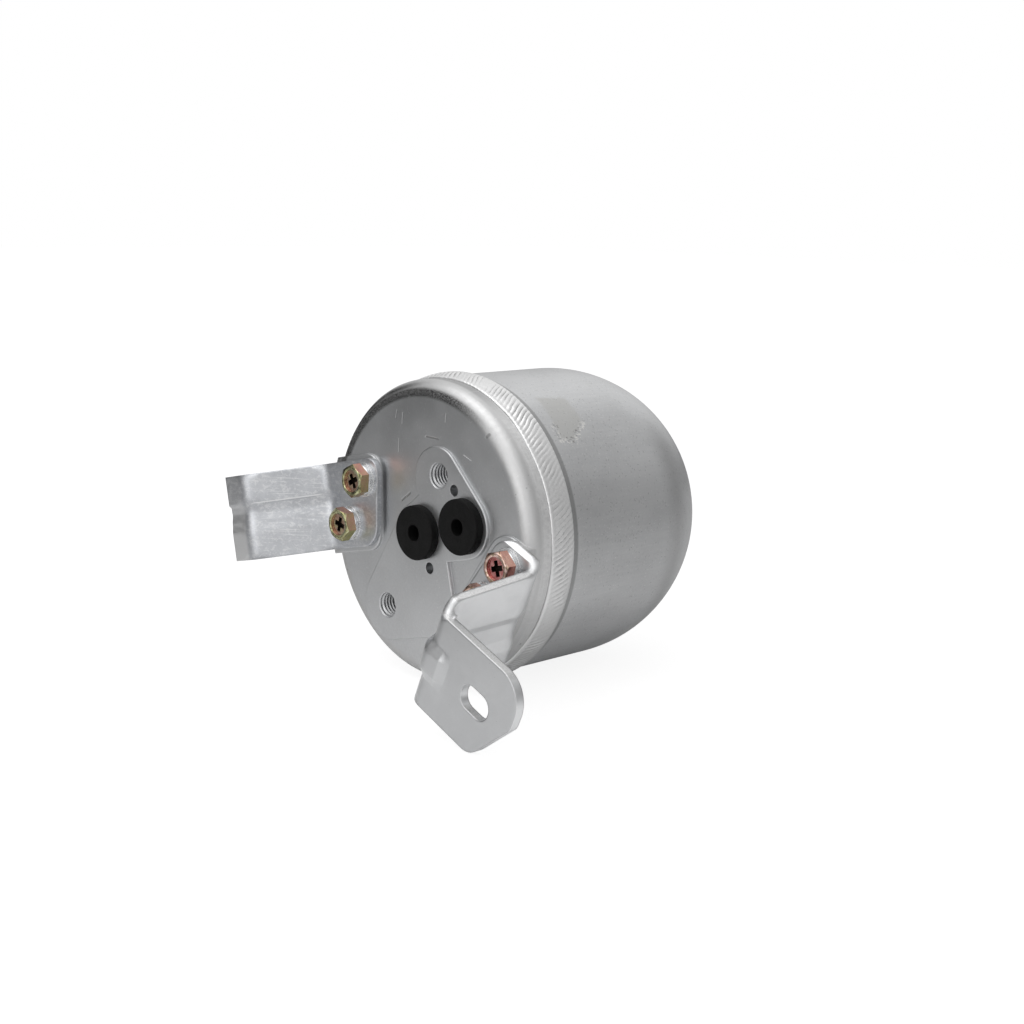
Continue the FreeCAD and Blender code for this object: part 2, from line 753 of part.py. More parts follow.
def make_screw(plate_thickness_here):
    """A dished hexagon-head screw with a cross recess, on the Y axis over its plate."""
    seat = -plate_thickness_here - flat_washer_thickness - spring_washer_thickness
    top = seat - head_height
    corner = head_flats / math.sqrt(3)
    head = hexagon(head_flats, top, seat)
    dome = cone(head_flats / 2 - 0.1, corner + 0.3, top, top + head_chamfer)
    dome = dome.fuse(disc(corner + 0.3, top + head_chamfer, seat))
    head = head.common(dome)
    shank = disc(screw_radius, seat, seat + screw_length)
    body = head.fuse(shank)
    cuts = [disc(dish_radius, top, top + dish_depth)]
    floor = top + dish_depth
    for long_x, long_z in ((cross_arm_length, cross_arm_width), (cross_arm_width, cross_arm_length)):
        cuts.append(Part.makeBox(long_x, cross_depth, long_z, vec(-long_x / 2, floor, -long_z / 2)))
    return body.cut(cuts)


def make_flat_washer(plate_thickness_here):
    rear = -plate_thickness_here
    front = rear - flat_washer_thickness
    ring = disc(flat_washer_radius, front, rear)
    return ring.cut(disc(screw_radius + washer_bore_clearance, front, rear))


def make_spring_washer(plate_thickness_here):
    """A split ring, its slit cut at a slant."""
    rear = -plate_thickness_here - flat_washer_thickness
    front = rear - spring_washer_thickness
    ring = disc(spring_washer_radius, front, rear)
    ring = ring.cut(disc(screw_radius + washer_bore_clearance, front, rear))
    slant = spring_washer_thickness * math.tan(math.radians(30))
    points = [vec(0, front - 0.5, -spring_washer_gap / 2 - slant / 2),
              vec(0, rear + 0.5, -spring_washer_gap / 2 + slant / 2),
              vec(0, rear + 0.5, spring_washer_gap / 2 + slant / 2),
              vec(0, front - 0.5, spring_washer_gap / 2 - slant / 2)]
    slit = Part.Face(Part.Wire(chain(points + points[:1]))).extrude(vec(spring_washer_radius + 1, 0, 0))
    return ring.cut(slit)


def on_bracket(make_piece, thickness, places, turn, own_turns):
    """Copies of a fastener, one over each hole of a bracket, as a group of solids."""
    pieces = []
    for (p, q), own in zip(places, own_turns):
        piece = turned(make_piece(thickness), own)
        piece.translate(vec(p, 0, q))
        pieces.append(turned(piece, turn))
    return Part.makeCompound(pieces)


def inner_dome_y(radius):
    """Where the inside of the dome's wide arc narrows to this radius."""
    wide = wide_arc_radius(inner_radius - dome_flat_radius, inner_dome_rise, inner_end_bend)
    from_centre = radius - (inner_radius - wide)
    return dome_start_y + math.sqrt(wide * wide - from_centre * from_centre)


piece_radius = inner_radius - seat_clearance
rear_plate_rear_y = inner_dome_y(piece_radius)
rear_plate_front_y = rear_plate_rear_y - plate_thickness
rear_filter_front_y = rear_plate_front_y - filter_thickness
bed_front_y = rear_filter_front_y - bed_length
front_filter_front_y = bed_front_y - filter_thickness
front_plate_front_y = front_filter_front_y - plate_thickness


def with_tube_hole(shape, y_front, y_rear):
    hole = disc(tube_outer_radius + tube_hole_clearance, y_front, y_rear, outlet_xz[0], outlet_xz[1])
    return shape.cut(turned(hole, header_roll))


def perforated_plate(y_front, flanged):
    """A perforated disc. The front one has a short flange, which faces away from the desiccant."""
    y_rear = y_front + plate_thickness
    plate = disc(piece_radius, y_front, y_rear)
    if flanged:
        rim = disc(piece_radius, y_front - plate_rim_height, y_front)
        rim = rim.cut(disc(piece_radius - plate_thickness, y_front - plate_rim_height, y_front))
        plate = plate.fuse(rim)
    holes = []
    for ring_radius, count in plate_hole_rings:
        for index in range(count):
            angle = 2 * math.pi * (index + 0.5) / count
            holes.append(disc(plate_hole_radius, y_front, y_rear,
                              ring_radius * math.cos(angle), ring_radius * math.sin(angle)))
    plate = plate.cut(holes)
    return with_tube_hole(plate, y_front - plate_rim_height, y_rear)


def make_spring():
    """A spring plate: a flat ring with fingers bent forward, which press on the header."""
    rear = front_plate_front_y
    ring = disc(spring_ring_radius, rear - spring_thickness, rear)
    ring = ring.cut(disc(spring_ring_radius - spring_ring_width, rear - spring_thickness, rear))
    middle = rear - spring_thickness / 2
    header_end = spigot_end_y + spring_thickness / 2
    root = spring_ring_radius - spring_ring_width + 1.0
    points = [(root, middle), (root - 4.0, middle),
              (root - 4.0 - spring_finger_run, header_end),
              (root - 4.0 - spring_finger_run - spring_finger_pad, header_end)]
    radii = [0, spring_bend_radius, spring_bend_radius, 0]
    section = strip_section(points, radii, spring_thickness, lambda y: -spring_finger_width / 2)
    finger = Part.Face(section).extrude(vec(0, 0, spring_finger_width))
    fingers = [turned(finger, index * 360.0 / spring_finger_count) for index in range(spring_finger_count)]
    return ring.fuse(fingers).removeSplitter()


def make_pickup_tube():
    """The tube that draws from the rear of the canister up to the outlet port."""
    front = port_depth + 1.5
    rear = body_length - dome_end_wall - tube_end_gap
    tube = disc(tube_outer_radius, front, rear, outlet_xz[0], outlet_xz[1])
    tube = tube.cut(disc(tube_inner_radius, front, rear, outlet_xz[0], outlet_xz[1]))
    return turned(tube, header_roll)


def make_strainer():
    """A windowed cup pushed over the tube's end."""
    x, z = outlet_xz
    tube_rear = body_length - dome_end_wall - tube_end_gap
    rear = tube_rear + tube_end_gap - 2.0
    front = rear - strainer_length
    cup = disc(strainer_radius, front, rear, x, z)
    cup = cup.cut(disc(strainer_radius - strainer_wall, front + strainer_wall, rear - strainer_wall, x, z))
    cup = cup.cut(disc(tube_outer_radius, front, front + strainer_wall, x, z))
    middle = 0.5 * (front + rear)
    windows = []
    for index in range(strainer_window_count):
        window = Part.makeBox(strainer_radius + 2, strainer_window_height, strainer_window_width,
                              vec(0, middle - strainer_window_height / 2, -strainer_window_width / 2))
        window = turned(window, index * 360.0 / strainer_window_count)
        window.translate(vec(x, 0, z))
        windows.append(window)
    return turned(cup.cut(windows), header_roll)


def filler(y_front, y_rear):
    return with_tube_hole(disc(piece_radius, y_front, y_rear), y_front, y_rear)


side_places = (side_thickness, side_screws_pq, header_roll + side_turn)
foot_places = (foot_thickness, foot_screws_pq, foot_turn)
side_own_turns = (-166.0, -206.0)
foot_own_turns = (38.0, 10.0)

nodes = {
    "header": make_header(),
    "canister": make_canister(),
    "weld_bead": make_weld_bead(),
    "outlet_plug": make_plug(outlet_xz[0], outlet_xz[1]),
    "inlet_plug": make_plug(inlet_xz[0], inlet_xz[1]),
    "side_bracket": make_side_bracket(),
    "foot_bracket": make_foot_bracket(),
    "side_bracket_screws": on_bracket(make_screw, *side_places, side_own_turns),
    "foot_bracket_screws": on_bracket(make_screw, *foot_places, foot_own_turns),
    "side_spring_washers": on_bracket(make_spring_washer, *side_places, side_own_turns),
    "foot_spring_washers": on_bracket(make_spring_washer, *foot_places, foot_own_turns),
    "side_flat_washers": on_bracket(make_flat_washer, *side_places, side_own_turns),
    "foot_flat_washers": on_bracket(make_flat_washer, *foot_places, foot_own_turns),
    "pickup_tube": make_pickup_tube(),
    "tube_strainer": make_strainer(),
    "hold_down_spring": make_spring(),
    "front_perforated_plate": perforated_plate(front_plate_front_y, True),
    "front_filter_pad": filler(front_filter_front_y, bed_front_y),
    "desiccant_bed": filler(bed_front_y, rear_filter_front_y),
    "rear_filter_pad": filler(rear_filter_front_y, rear_plate_front_y),
    "rear_perforated_plate": perforated_plate(rear_plate_front_y, False),
}

mid_wall_y = 0.5 * (weld_end_y + dome_start_y)

os.makedirs("parts", exist_ok=True)
for name, shape in nodes.items():
    shape.translate(vec(0, -mid_wall_y, 0))
    print(name, shape.isValid(), len(shape.Solids), round(shape.Volume, 1))
    shape.exportStep("parts/" + name + ".step")
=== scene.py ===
# Looks of the receiver drier: its materials and marks, the rippled weld, the threads, the side
# bracket's bent sheet, the spring washers, the studio and the camera.
# The frame is the CAD model's: the header faces -Y and +Z is up.
import math
import bmesh
import bpy
from mathutils import Matrix, Vector
from mathutils import noise as smooth_noise


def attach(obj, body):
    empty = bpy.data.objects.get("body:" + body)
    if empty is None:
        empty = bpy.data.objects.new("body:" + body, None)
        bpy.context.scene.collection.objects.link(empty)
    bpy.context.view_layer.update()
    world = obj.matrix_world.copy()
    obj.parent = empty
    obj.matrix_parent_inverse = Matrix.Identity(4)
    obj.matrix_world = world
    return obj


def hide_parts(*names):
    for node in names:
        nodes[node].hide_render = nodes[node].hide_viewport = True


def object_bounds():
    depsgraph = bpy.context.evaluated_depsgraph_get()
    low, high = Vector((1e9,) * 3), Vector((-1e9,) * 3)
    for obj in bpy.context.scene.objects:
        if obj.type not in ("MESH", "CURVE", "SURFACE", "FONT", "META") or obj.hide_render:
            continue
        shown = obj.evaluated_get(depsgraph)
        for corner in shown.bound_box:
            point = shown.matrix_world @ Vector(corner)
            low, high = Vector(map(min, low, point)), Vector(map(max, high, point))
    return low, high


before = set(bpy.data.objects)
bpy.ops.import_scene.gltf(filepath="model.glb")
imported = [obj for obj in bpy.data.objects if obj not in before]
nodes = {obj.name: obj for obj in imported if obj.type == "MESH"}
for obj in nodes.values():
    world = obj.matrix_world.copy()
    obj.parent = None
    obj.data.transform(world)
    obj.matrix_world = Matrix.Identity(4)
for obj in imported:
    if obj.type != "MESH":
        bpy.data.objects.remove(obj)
cad_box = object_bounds()
MM = 0.001

# Places and sizes in millimetres. Most are the CAD model's. The weld's toe, the ripples, the form
# of the thread ridges, the eased edges and the turn of the slits are only here.
BODY_RADIUS = 50.0
HEADER_RADIUS = 49.4
PAD_Y = -38.35
FACE_Y = -37.15
WELD_START_Y = -28.75
WELD_END_Y = -19.85
WELD_CREST_SHARE = 0.865
WELD_CREST_RISE = 1.75
WELD_HEEL_RISE = 1.15
WELD_TOE_RISE = 0.26
WELD_ROOT_Y = -24.35
WELD_ROOT_RADIUS = 47.62
WELD_RIPPLES = 176
WELD_RIPPLE_HEIGHT = 0.30
WELD_RIPPLE_LEAN = 5.6
TAPPED_HOLES = {"upper_thread": (7.507, 19.495), "lower_thread": (-17.504, -27.759)}
THREAD_MAJOR = 4.0
THREAD_MINOR = 3.38
THREAD_PITCH = 1.25
THREAD_TURNS = 10.6
THREAD_START = 0.75
THREAD_FOOT_HALF = 0.56
THREAD_TIP_HALF = 0.10
SIDE_SCREWS = [(-27.361, 13.763), (-34.381, -2.049)]
FOOT_SCREWS = [(43.749, -3.144), (33.590, -15.562)]
SIDE_HEAD_TOP = -46.25
FOOT_HEAD_TOP = -47.25
DISH_RADIUS = 3.7
DISH_DEPTH = 0.7
HEAD_FLAT = 5.0
HEAD_HEIGHT = 3.5
SPRING_WASHER_BORE = 3.25
SPRING_WASHER_RADIUS = 5.2
SPRING_WASHER_THICKNESS = 1.4
SPRING_WASHER_EASE = 0.3
SLIT_TURN = 180.0
FOOT_UP = (0.3907, 0.0, 0.9205)
FOOT_OUT = (0.9205, 0.0, -0.3907)
SIDE_UP = (-0.2181, 0.0, 0.9759)
SIDE_OUT = (-0.9759, 0.0, -0.2181)

# Side bracket in the plane of the run outwards (p) and the run across it (q). Its bends are rounder
# and its rib is less even than in the CAD model.
SIDE_ACROSS = tuple(-part for part in SIDE_UP)
SIDE_THICKNESS = 2.0
SIDE_MIDDLE_Y = -39.35
SIDE_LOW_Q = -26.4
SIDE_HIGH_Q = 3.1
SIDE_LOW_P = 15.5
SIDE_HIGH_P = 22.1
SIDE_CORNER = 6.5
SIDE_BEND_ANGLE = math.radians(45.0)
SIDE_BEND_P = 44.9
SIDE_ARM_REACH = 20.3
SIDE_LIP = 10.3
SIDE_BEND_RADIUS = 4.2
SIDE_RIB_Q = -10.1
SIDE_RIB_HALF = 6.2
SIDE_RIB_DEPTH = 1.15
SIDE_RIB_RUN = (38.6, 42.2)
# The rib's section: share of its half width, then share of its depth
SIDE_RIB_PROFILE = [(-1.0, 0.0), (-0.84, 0.72), (-0.45, 0.80), (0.1, 0.35), (0.6, 0.0), (1.0, 0.0)]
SIDE_CREASE_Q = -16.25

# The brackets' bends, as the run outwards and y, and how much softer their shading is
SIDE_BENDS = [(SIDE_BEND_P, -39.6), (SIDE_BEND_P + SIDE_ARM_REACH, -59.9)]
FOOT_BENDS = [(52.6, -40.2), (47.1, -70.8)]
BEND_SOFTNESS = 3.0

# Corners of the old label's residue, as the run around the body and y
RESIDUE = [(55.0, -11.4), (53.4, 1.5), (42.1, 0.6), (34.3, -8.6), (35.6, -14.5)]

# Dents and pale scratches on the header's face: two ends as X and Z, then the width
FACE_MARKS = [((-0.2, 31.2), (5.6, 31.0), 0.6),
              ((-11.9, 8.7), (-10.2, 10.0), 0.7), ((-9.4, 10.4), (-7.9, 11.6), 0.7),
              ((28.2, 34.4), (29.2, 35.2), 1.0)]
FACE_SCRATCHES = [((-12.1, 34.2), (-11.9, 37.6), 0.4), ((-15.4, 35.8), (-14.9, 38.2), 0.3),
                  ((-13.9, 24.6), (-13.7, 29.0), 0.3), ((9.0, 37.0), (9.3, 39.6), 0.3),
                  ((-28.0, 3.0), (-24.5, 5.4), 0.3), ((18.0, 27.5), (21.5, 26.2), 0.3)]

# Tints that shift a gray, and the screws' plating as colour stops from dark to light
COOL = (-0.006, 0.0, 0.008)
BLUISH = (-0.012, 0.0, 0.024)
OLIVE_RIM = [(0.0, (0.11, 0.11, 0.05)), (0.5, (0.38, 0.36, 0.18)), (1.0, (0.70, 0.71, 0.42))]
PINK_RIM = [(0.0, (0.20, 0.17, 0.09)), (0.45, (0.52, 0.34, 0.26)), (1.0, (0.86, 0.64, 0.57))]
BROWN_DISH = [(0.0, (0.30, 0.19, 0.12)), (0.5, (0.46, 0.29, 0.22)), (1.0, (0.46, 0.40, 0.22))]
RED_DISH = [(0.0, (0.36, 0.11, 0.10)), (0.5, (0.54, 0.20, 0.19)), (1.0, (0.62, 0.36, 0.32))]
# The facets' stops run from painted shade to painted light through the plating's hues
OLIVE_SIDE = [(0.0, (0.10, 0.10, 0.03)), (0.35, (0.34, 0.32, 0.10)), (0.6, (0.52, 0.40, 0.20)),
              (1.0, (0.62, 0.30, 0.24))]
PINK_SIDE = [(0.0, (0.08, 0.06, 0.04)), (0.35, (0.20, 0.12, 0.09)), (0.62, (0.56, 0.24, 0.20)),
             (1.0, (0.84, 0.50, 0.40))]
FACETS_LIT_FROM = (0.35, 0.0, 0.94)

# Brightness of the studio by direction: aim, cosines where it starts and is full, dark and full level
STUDIO_LOBES = [((0.0, 0.0, 1.0), -0.2, 0.6, 0.30, 0.40),
                ((-0.15, -0.25, 0.95), 0.62, 0.96, 0.0, 0.40),
                ((-0.56, 0.68, 0.47), 0.78, 0.97, 0.0, 0.54),
                ((0.55, -0.72, 0.40), 0.70, 0.96, 0.0, 0.46),
                ((0.20, 0.66, 0.72), 0.80, 0.97, 0.0, 0.20),
                ((0.02, -0.98, 0.14), 0.90, 0.99, 0.0, 1.30),
                ((-0.96, 0.28, 0.08), 0.62, 0.95, 0.0, -0.29)]

# Floor, in metres: its half width, its gap below the part and the middle of the painted pool of light in
# its reflections
FLOOR_HALF = 4.0
FLOOR_GAP = 0.0003
FLOOR_LIGHT_POOL = (0.06, -0.10)

# Camera, fitted to the header's circles and the outline of the canister. Its place is in millimetres.
SENSOR_WIDTH = 36.0
LENS = 56.25
CAMERA_PLACE = (384.822, -372.387, 105.094)
CAMERA_RIGHT = (0.69408542, 0.7195586, 0.02192852)
CAMERA_UP = (-0.15085889, 0.11559882, 0.98177315)
CAMERA_BACK = (0.7039084, -0.68474254, 0.18878727)


# Node helpers
class Nodes:
    """Short calls that add nodes to one tree and return their outputs."""

    def __init__(self, tree):
        self.tree = tree
        tree.nodes.clear()

    def add(self, kind):
        return self.tree.nodes.new(kind)

    def feed(self, socket, value):
        """Links an output, or sets a constant."""
        if isinstance(value, bpy.types.NodeSocket):
            self.tree.links.new(value, socket)
        else:
            socket.default_value = value

    def math(self, kind, a, b=None, c=None, clamp=False):
        node = self.add("ShaderNodeMath")
        node.operation = kind
        node.use_clamp = clamp
        for socket, value in zip(node.inputs, (a, b, c)):
            if value is not None:
                self.feed(socket, value)
        return node.outputs[0]

    def vector(self, kind, a, b=None, scale=None):
        node = self.add("ShaderNodeVectorMath")
        node.operation = kind
        self.feed(node.inputs[0], a)
        if b is not None:
            self.feed(node.inputs[1], b)
        if scale is not None:
            self.feed(node.inputs["Scale"], scale)
        return node.outputs["Value" if kind in ("DOT_PRODUCT", "LENGTH", "DISTANCE") else "Vector"]

    def combine(self, x, y, z):
        node = self.add("ShaderNodeCombineXYZ")
        for socket, value in zip(node.inputs, (x, y, z)):
            self.feed(socket, value)
        return node.outputs[0]

    def span(self, value, low, high, to_low=0.0, to_high=1.0, smooth=True):
        node = self.add("ShaderNodeMapRange")
        node.interpolation_type = "SMOOTHSTEP" if smooth else "LINEAR"
        self.feed(node.inputs["Value"], value)
        ends = {"From Min": low, "From Max": high, "To Min": to_low, "To Max": to_high}
        for name, number in ends.items():
            node.inputs[name].default_value = number
        return node.outputs["Result"]


class Look(Nodes):
    """A node material. Lengths are millimetres in the part's own frame."""

    def __init__(self, name):
        self.material = bpy.data.materials.new(name)
        self.material.use_nodes = True
        super().__init__(self.material.node_tree)
        self.bsdf = self.add("ShaderNodeBsdfPrincipled")
        output = self.add("ShaderNodeOutputMaterial")
        self.tree.links.new(self.bsdf.outputs["BSDF"], output.inputs["Surface"])
        coords = self.add("ShaderNodeTexCoord")
        self.place = self.vector("SCALE", coords.outputs["Object"], scale=1.0 / MM)
        parts = self.add("ShaderNodeSeparateXYZ")
        self.tree.links.new(self.place, parts.inputs[0])
        self.x, self.y, self.z = parts.outputs
        squares = self.math("ADD", self.math("MULTIPLY", self.x, self.x),
                            self.math("MULTIPLY", self.z, self.z))
        self.radius = self.math("SQRT", squares)
        self.around = self.math("MULTIPLY", self.math("ARCTAN2", self.z, self.x), BODY_RADIUS)
        self.wrapped = self.combine(self.around, self.y, 0.0)
        self.flat = self.combine(self.x, self.z, 0.0)
        self.normal = self.add("ShaderNodeNewGeometry").outputs["Normal"]

    def stretch(self, vector, scale, turn=0.0, shift=(0.0, 0.0, 0.0)):
        """Turns the plane of the first two axes, then scales each axis."""
        spun = self.add("ShaderNodeMapping")
        self.tree.links.new(vector, spun.inputs["Vector"])
        spun.inputs["Rotation"].default_value = (0.0, 0.0, math.radians(turn))
        spun.inputs["Location"].default_value = shift
        sized = self.add("ShaderNodeMapping")
        self.tree.links.new(spun.outputs[0], sized.inputs["Vector"])
        sized.inputs["Scale"].default_value = scale
        return sized.outputs[0]

    def noise(self, vector, scale, detail=3.0, rough=0.55, warp=0.0):
        node = self.add("ShaderNodeTexNoise")
        self.tree.links.new(vector, node.inputs["Vector"])
        values = {"Scale": scale, "Detail": detail, "Roughness": rough, "Distortion": warp}
        for name, number in values.items():
            node.inputs[name].default_value = number
        return node.outputs["Fac"]

    def dots(self, vector, scale, size, share, flat=False):
        """Sparse dots, one in each chosen cell of a pattern. Stretched space makes them dashes."""
        node = self.add("ShaderNodeTexVoronoi")
        node.voronoi_dimensions = "2D" if flat else "3D"
        self.tree.links.new(vector, node.inputs["Vector"])
        node.inputs["Scale"].default_value = scale
        near = self.span(node.outputs["Distance"], 0.35 * size, size, 1.0, 0.0)
        pick = self.add("ShaderNodeSeparateColor")
        self.tree.links.new(node.outputs["Color"], pick.inputs[0])
        chosen = self.math("LESS_THAN", pick.outputs[0], share)
        fade = self.math("MULTIPLY_ADD", pick.outputs[1], 0.7, 0.3)
        return self.math("MULTIPLY", self.math("MULTIPLY", near, chosen), fade)

    def scratches(self, vector, turns, length=6.0, width=0.12, share=0.35, pitch=7.0):
        """Thin straight dashes in several directions of a plane."""
        total = 0.0
        for index, turn in enumerate(turns):
            along = 1.0 / length
            across = 0.12 / width
            shifted = self.stretch(vector, (along, across, 0.0), turn, (3.7 * index, 5.1 * index, 0.0))
            mask = self.dots(shifted, 7.0 / pitch, 0.12, share, flat=True)
            total = self.math("MAXIMUM", total, mask)
        return total

    def blend(self, share, a, b, kind="MIX"):
        node = self.add("ShaderNodeMix")
        node.data_type = "RGBA"
        node.blend_type = kind
        self.feed(node.inputs[0], share)
        for socket, color in ((node.inputs[6], a), (node.inputs[7], b)):
            self.feed(socket, (*color, 1.0) if isinstance(color, tuple) else color)
        return node.outputs[2]

    def layer(self, color, mask, share, over):
        """Lays one colour over another where a mask is one, at a share of its strength."""
        return self.blend(self.math("MULTIPLY", mask, share), color, over)

    def ramp(self, value, stops):
        node = self.add("ShaderNodeValToRGB")
        self.tree.links.new(value, node.inputs[0])
        elements = node.color_ramp.elements
        while len(elements) < len(stops):
            elements.new(0.5)
        for element, (position, color) in zip(elements, stops):
            element.position = position
            element.color = (*color, 1.0)
        return node.outputs[0]

    def bump(self, height, distance, strength=1.0, normal=None):
        """Bump from a height of 0..1, with its full depth in millimetres."""
        node = self.add("ShaderNodeBump")
        node.inputs["Strength"].default_value = strength
        node.inputs["Distance"].default_value = distance * MM
        self.tree.links.new(height, node.inputs["Height"])
        if normal is not None:
            self.tree.links.new(normal, node.inputs["Normal"])
        return node.outputs[0]

    def soft_edges(self, radius, samples=6):
        """Rounds the shading of edges. The radius is a number or an output, in millimetres."""
        node = self.add("ShaderNodeBevel")
        node.samples = samples
        self.feed(node.inputs["Radius"], self.math("MULTIPLY", radius, MM))
        return node.outputs[0]

    def stroke(self, start, end, width):
        """A soft line from one point of the header's face to another."""
        run = Vector(end) - Vector(start)
        offset = self.vector("SUBTRACT", self.place, (start[0], FACE_Y, start[1]))
        along = (run.x / run.length_squared, 0.0, run.y / run.length_squared)
        share = self.span(self.vector("DOT_PRODUCT", offset, along), 0.0, 1.0, smooth=False)
        nearest = self.vector("SCALE", (run.x, 0.0, run.y), scale=share)
        distance = self.vector("DISTANCE", offset, nearest)
        return self.span(distance, 0.25 * width, 0.75 * width, 1.0, 0.0)

    def nearest(self, centres):
        """Distance in X and Z to the nearest of the given points."""
        here = self.combine(self.x, 0.0, self.z)
        return self.math("MINIMUM", *[self.vector("DISTANCE", here, (x, 0.0, z)) for x, z in centres])

    def facing(self, direction, low, high):
        """One where the surface looks in a direction."""
        return self.span(self.vector("DOT_PRODUCT", self.normal, direction), low, high)

    def band(self, value, low, high, soft):
        """One between two values, with soft ends."""
        rise = self.span(value, low - soft, low + soft)
        fall = self.span(value, high - soft, high + soft, 1.0, 0.0)
        return self.math("MULTIPLY", rise, fall)

    def finish(self, color, rough, metallic=1.0, normal=None, **constants):
        self.feed(self.bsdf.inputs["Base Color"], color)
        self.feed(self.bsdf.inputs["Roughness"], rough)
        self.bsdf.inputs["Metallic"].default_value = metallic
        if normal is not None:
            self.tree.links.new(normal, self.bsdf.inputs["Normal"])
        for name, value in constants.items():
            self.bsdf.inputs[name.replace("_", " ")].default_value = value
        return self.material


def gray(value, tint=(0.0, 0.0, 0.0)):
    return (value + tint[0], value + tint[1], value + tint[2])


# Metals
def underside_shade(look):
    """A share that grows towards the body's underside, where painted shade darkens the metal."""
    return look.span(look.z, 4.0, -24.0, 0.0, 0.5)


def strokes(look, lines):
    """The strongest of several soft lines on the header's face."""
    total = 0.0
    for start, end, width in lines:
        total = look.math("MAXIMUM", total, look.stroke(start, end, width))
    return total


def header_rim(look, forged, streak, skirt):
    """Colour of the rim and skirt, darker to the front, with painted shade on the upper skirt and the
    underside, and the upper side's mask.
    """
    upper = look.span(look.vector("DOT_PRODUCT", look.place, (-0.52, 0.0, 0.855)), 13.0, 34.0)
    worn = look.blend(look.span(forged, 0.40, 0.62), gray(0.82), gray(0.93))
    worn = look.layer(worn, look.span(streak, 0.45, 0.62), 0.5, gray(0.97))
    worn = look.blend(look.math("SUBTRACT", 1.0, skirt), worn, gray(0.70), "DARKEN")
    # Painted shade on the upper skirt and towards the underside
    worn = look.blend(look.math("MULTIPLY", upper, skirt), worn, gray(0.46))
    worn = look.blend(underside_shade(look), worn, gray(0.46))
    return worn, upper


def upper_rim_shade(look, upper):
    """Painted shade along the rim's upper edge, wider at the upper left, broken up by a grainy speckle."""
    upper_left = look.span(look.vector("DOT_PRODUCT", look.place, (-0.66, 0.0, 0.75)), 37.5, 44.0)
    inner = look.math("MULTIPLY", upper, look.band(look.radius, 43.9, 46.7, 0.6))
    outer = look.math("MULTIPLY", upper_left, look.band(look.radius, 46.6, 48.1, 0.6))
    speckle = look.noise(look.place, 2.4, 3.0, 0.7)
    speckle = look.span(speckle, 0.62, 0.40, 0.55, 1.0)
    return look.math("MULTIPLY", look.math("MAXIMUM", inner, outer), speckle)


def header_look():
    """A gray face with painted shade that darkens it upwards, a worn rim and skirt with painted shade along
    the upper edge and underside, and small marks.
    """
    look = Look("header_aluminium_look")
    cloud = look.noise(look.place, 0.055, 4.0)
    grain = look.noise(look.place, 1.6, 3.0, 0.6)
    fine = look.noise(look.place, 4.5, 2.0)
    forged = look.noise(look.stretch(look.place, (1.0, 0.55, 1.0)), 0.9, 5.0, 0.72)
    streak = look.noise(look.stretch(look.place, (0.10, 1.6, 0.10)), 1.0, 4.0, 0.65)
    rim = look.span(look.radius, 43.4, 45.6)
    skirt = look.math("MULTIPLY", rim, look.span(look.y, -33.5, -31.5))
    color = look.blend(look.span(cloud, 0.32, 0.68), gray(0.57, COOL), gray(0.62, COOL))
    color = look.layer(color, look.span(grain, 0.35, 0.7), 0.25, gray(0.72, COOL))
    # Painted shade: the face darkens upwards
    color = look.blend(look.span(look.z, -20.0, 44.0, 0.0, 0.30), color, gray(0.40, COOL))
    worn, upper = header_rim(look, forged, streak, skirt)
    color = look.layer(color, rim, 0.9, worn)
    # Painted shade, near black, along the rim's upper edge
    color = look.blend(upper_rim_shade(look, upper), color, gray(0.07))

    # Marks: thin scratches, specks, pits on the rim, dents and pale lines on the face
    marks = look.scratches(look.flat, (84, 97, 31, 140), length=5.0, width=0.14, share=0.14)
    specks = look.dots(look.place, 0.7, 0.13, 0.12)
    pits = look.dots(look.stretch(look.place, (0.34, 0.34, 0.34)), 1.0, 0.15, 0.22)
    pits = look.math("MULTIPLY", pits, rim)
    dents = strokes(look, FACE_MARKS)
    pale = strokes(look, FACE_SCRATCHES)
    color = look.layer(color, marks, 0.45, gray(0.85))
    color = look.layer(color, specks, 0.5, gray(0.14))
    color = look.layer(color, pits, 0.85, gray(0.06))
    color = look.layer(color, dents, 0.55, gray(0.24))
    color = look.layer(color, pale, 0.6, gray(0.88))

    rough = look.math("ADD", look.span(cloud, 0.3, 0.7, 0.34, 0.41),
                      look.math("MULTIPLY", rim, look.span(forged, 0.35, 0.65, 0.04, 0.14)))
    normal = look.soft_edges(0.35)
    normal = look.bump(look.math("MULTIPLY", rim, forged), 0.10, 0.8, normal)
    normal = look.bump(look.math("ADD", fine, look.math("MULTIPLY", grain, 0.6)), 0.016, 0.9, normal)
    normal = look.bump(look.math("MULTIPLY", streak, skirt), 0.06, 0.8, normal)
    normal = look.bump(look.math("MAXIMUM", dents, pale), -0.12, 0.8, normal)
    return look.finish(color, rough, normal=normal)


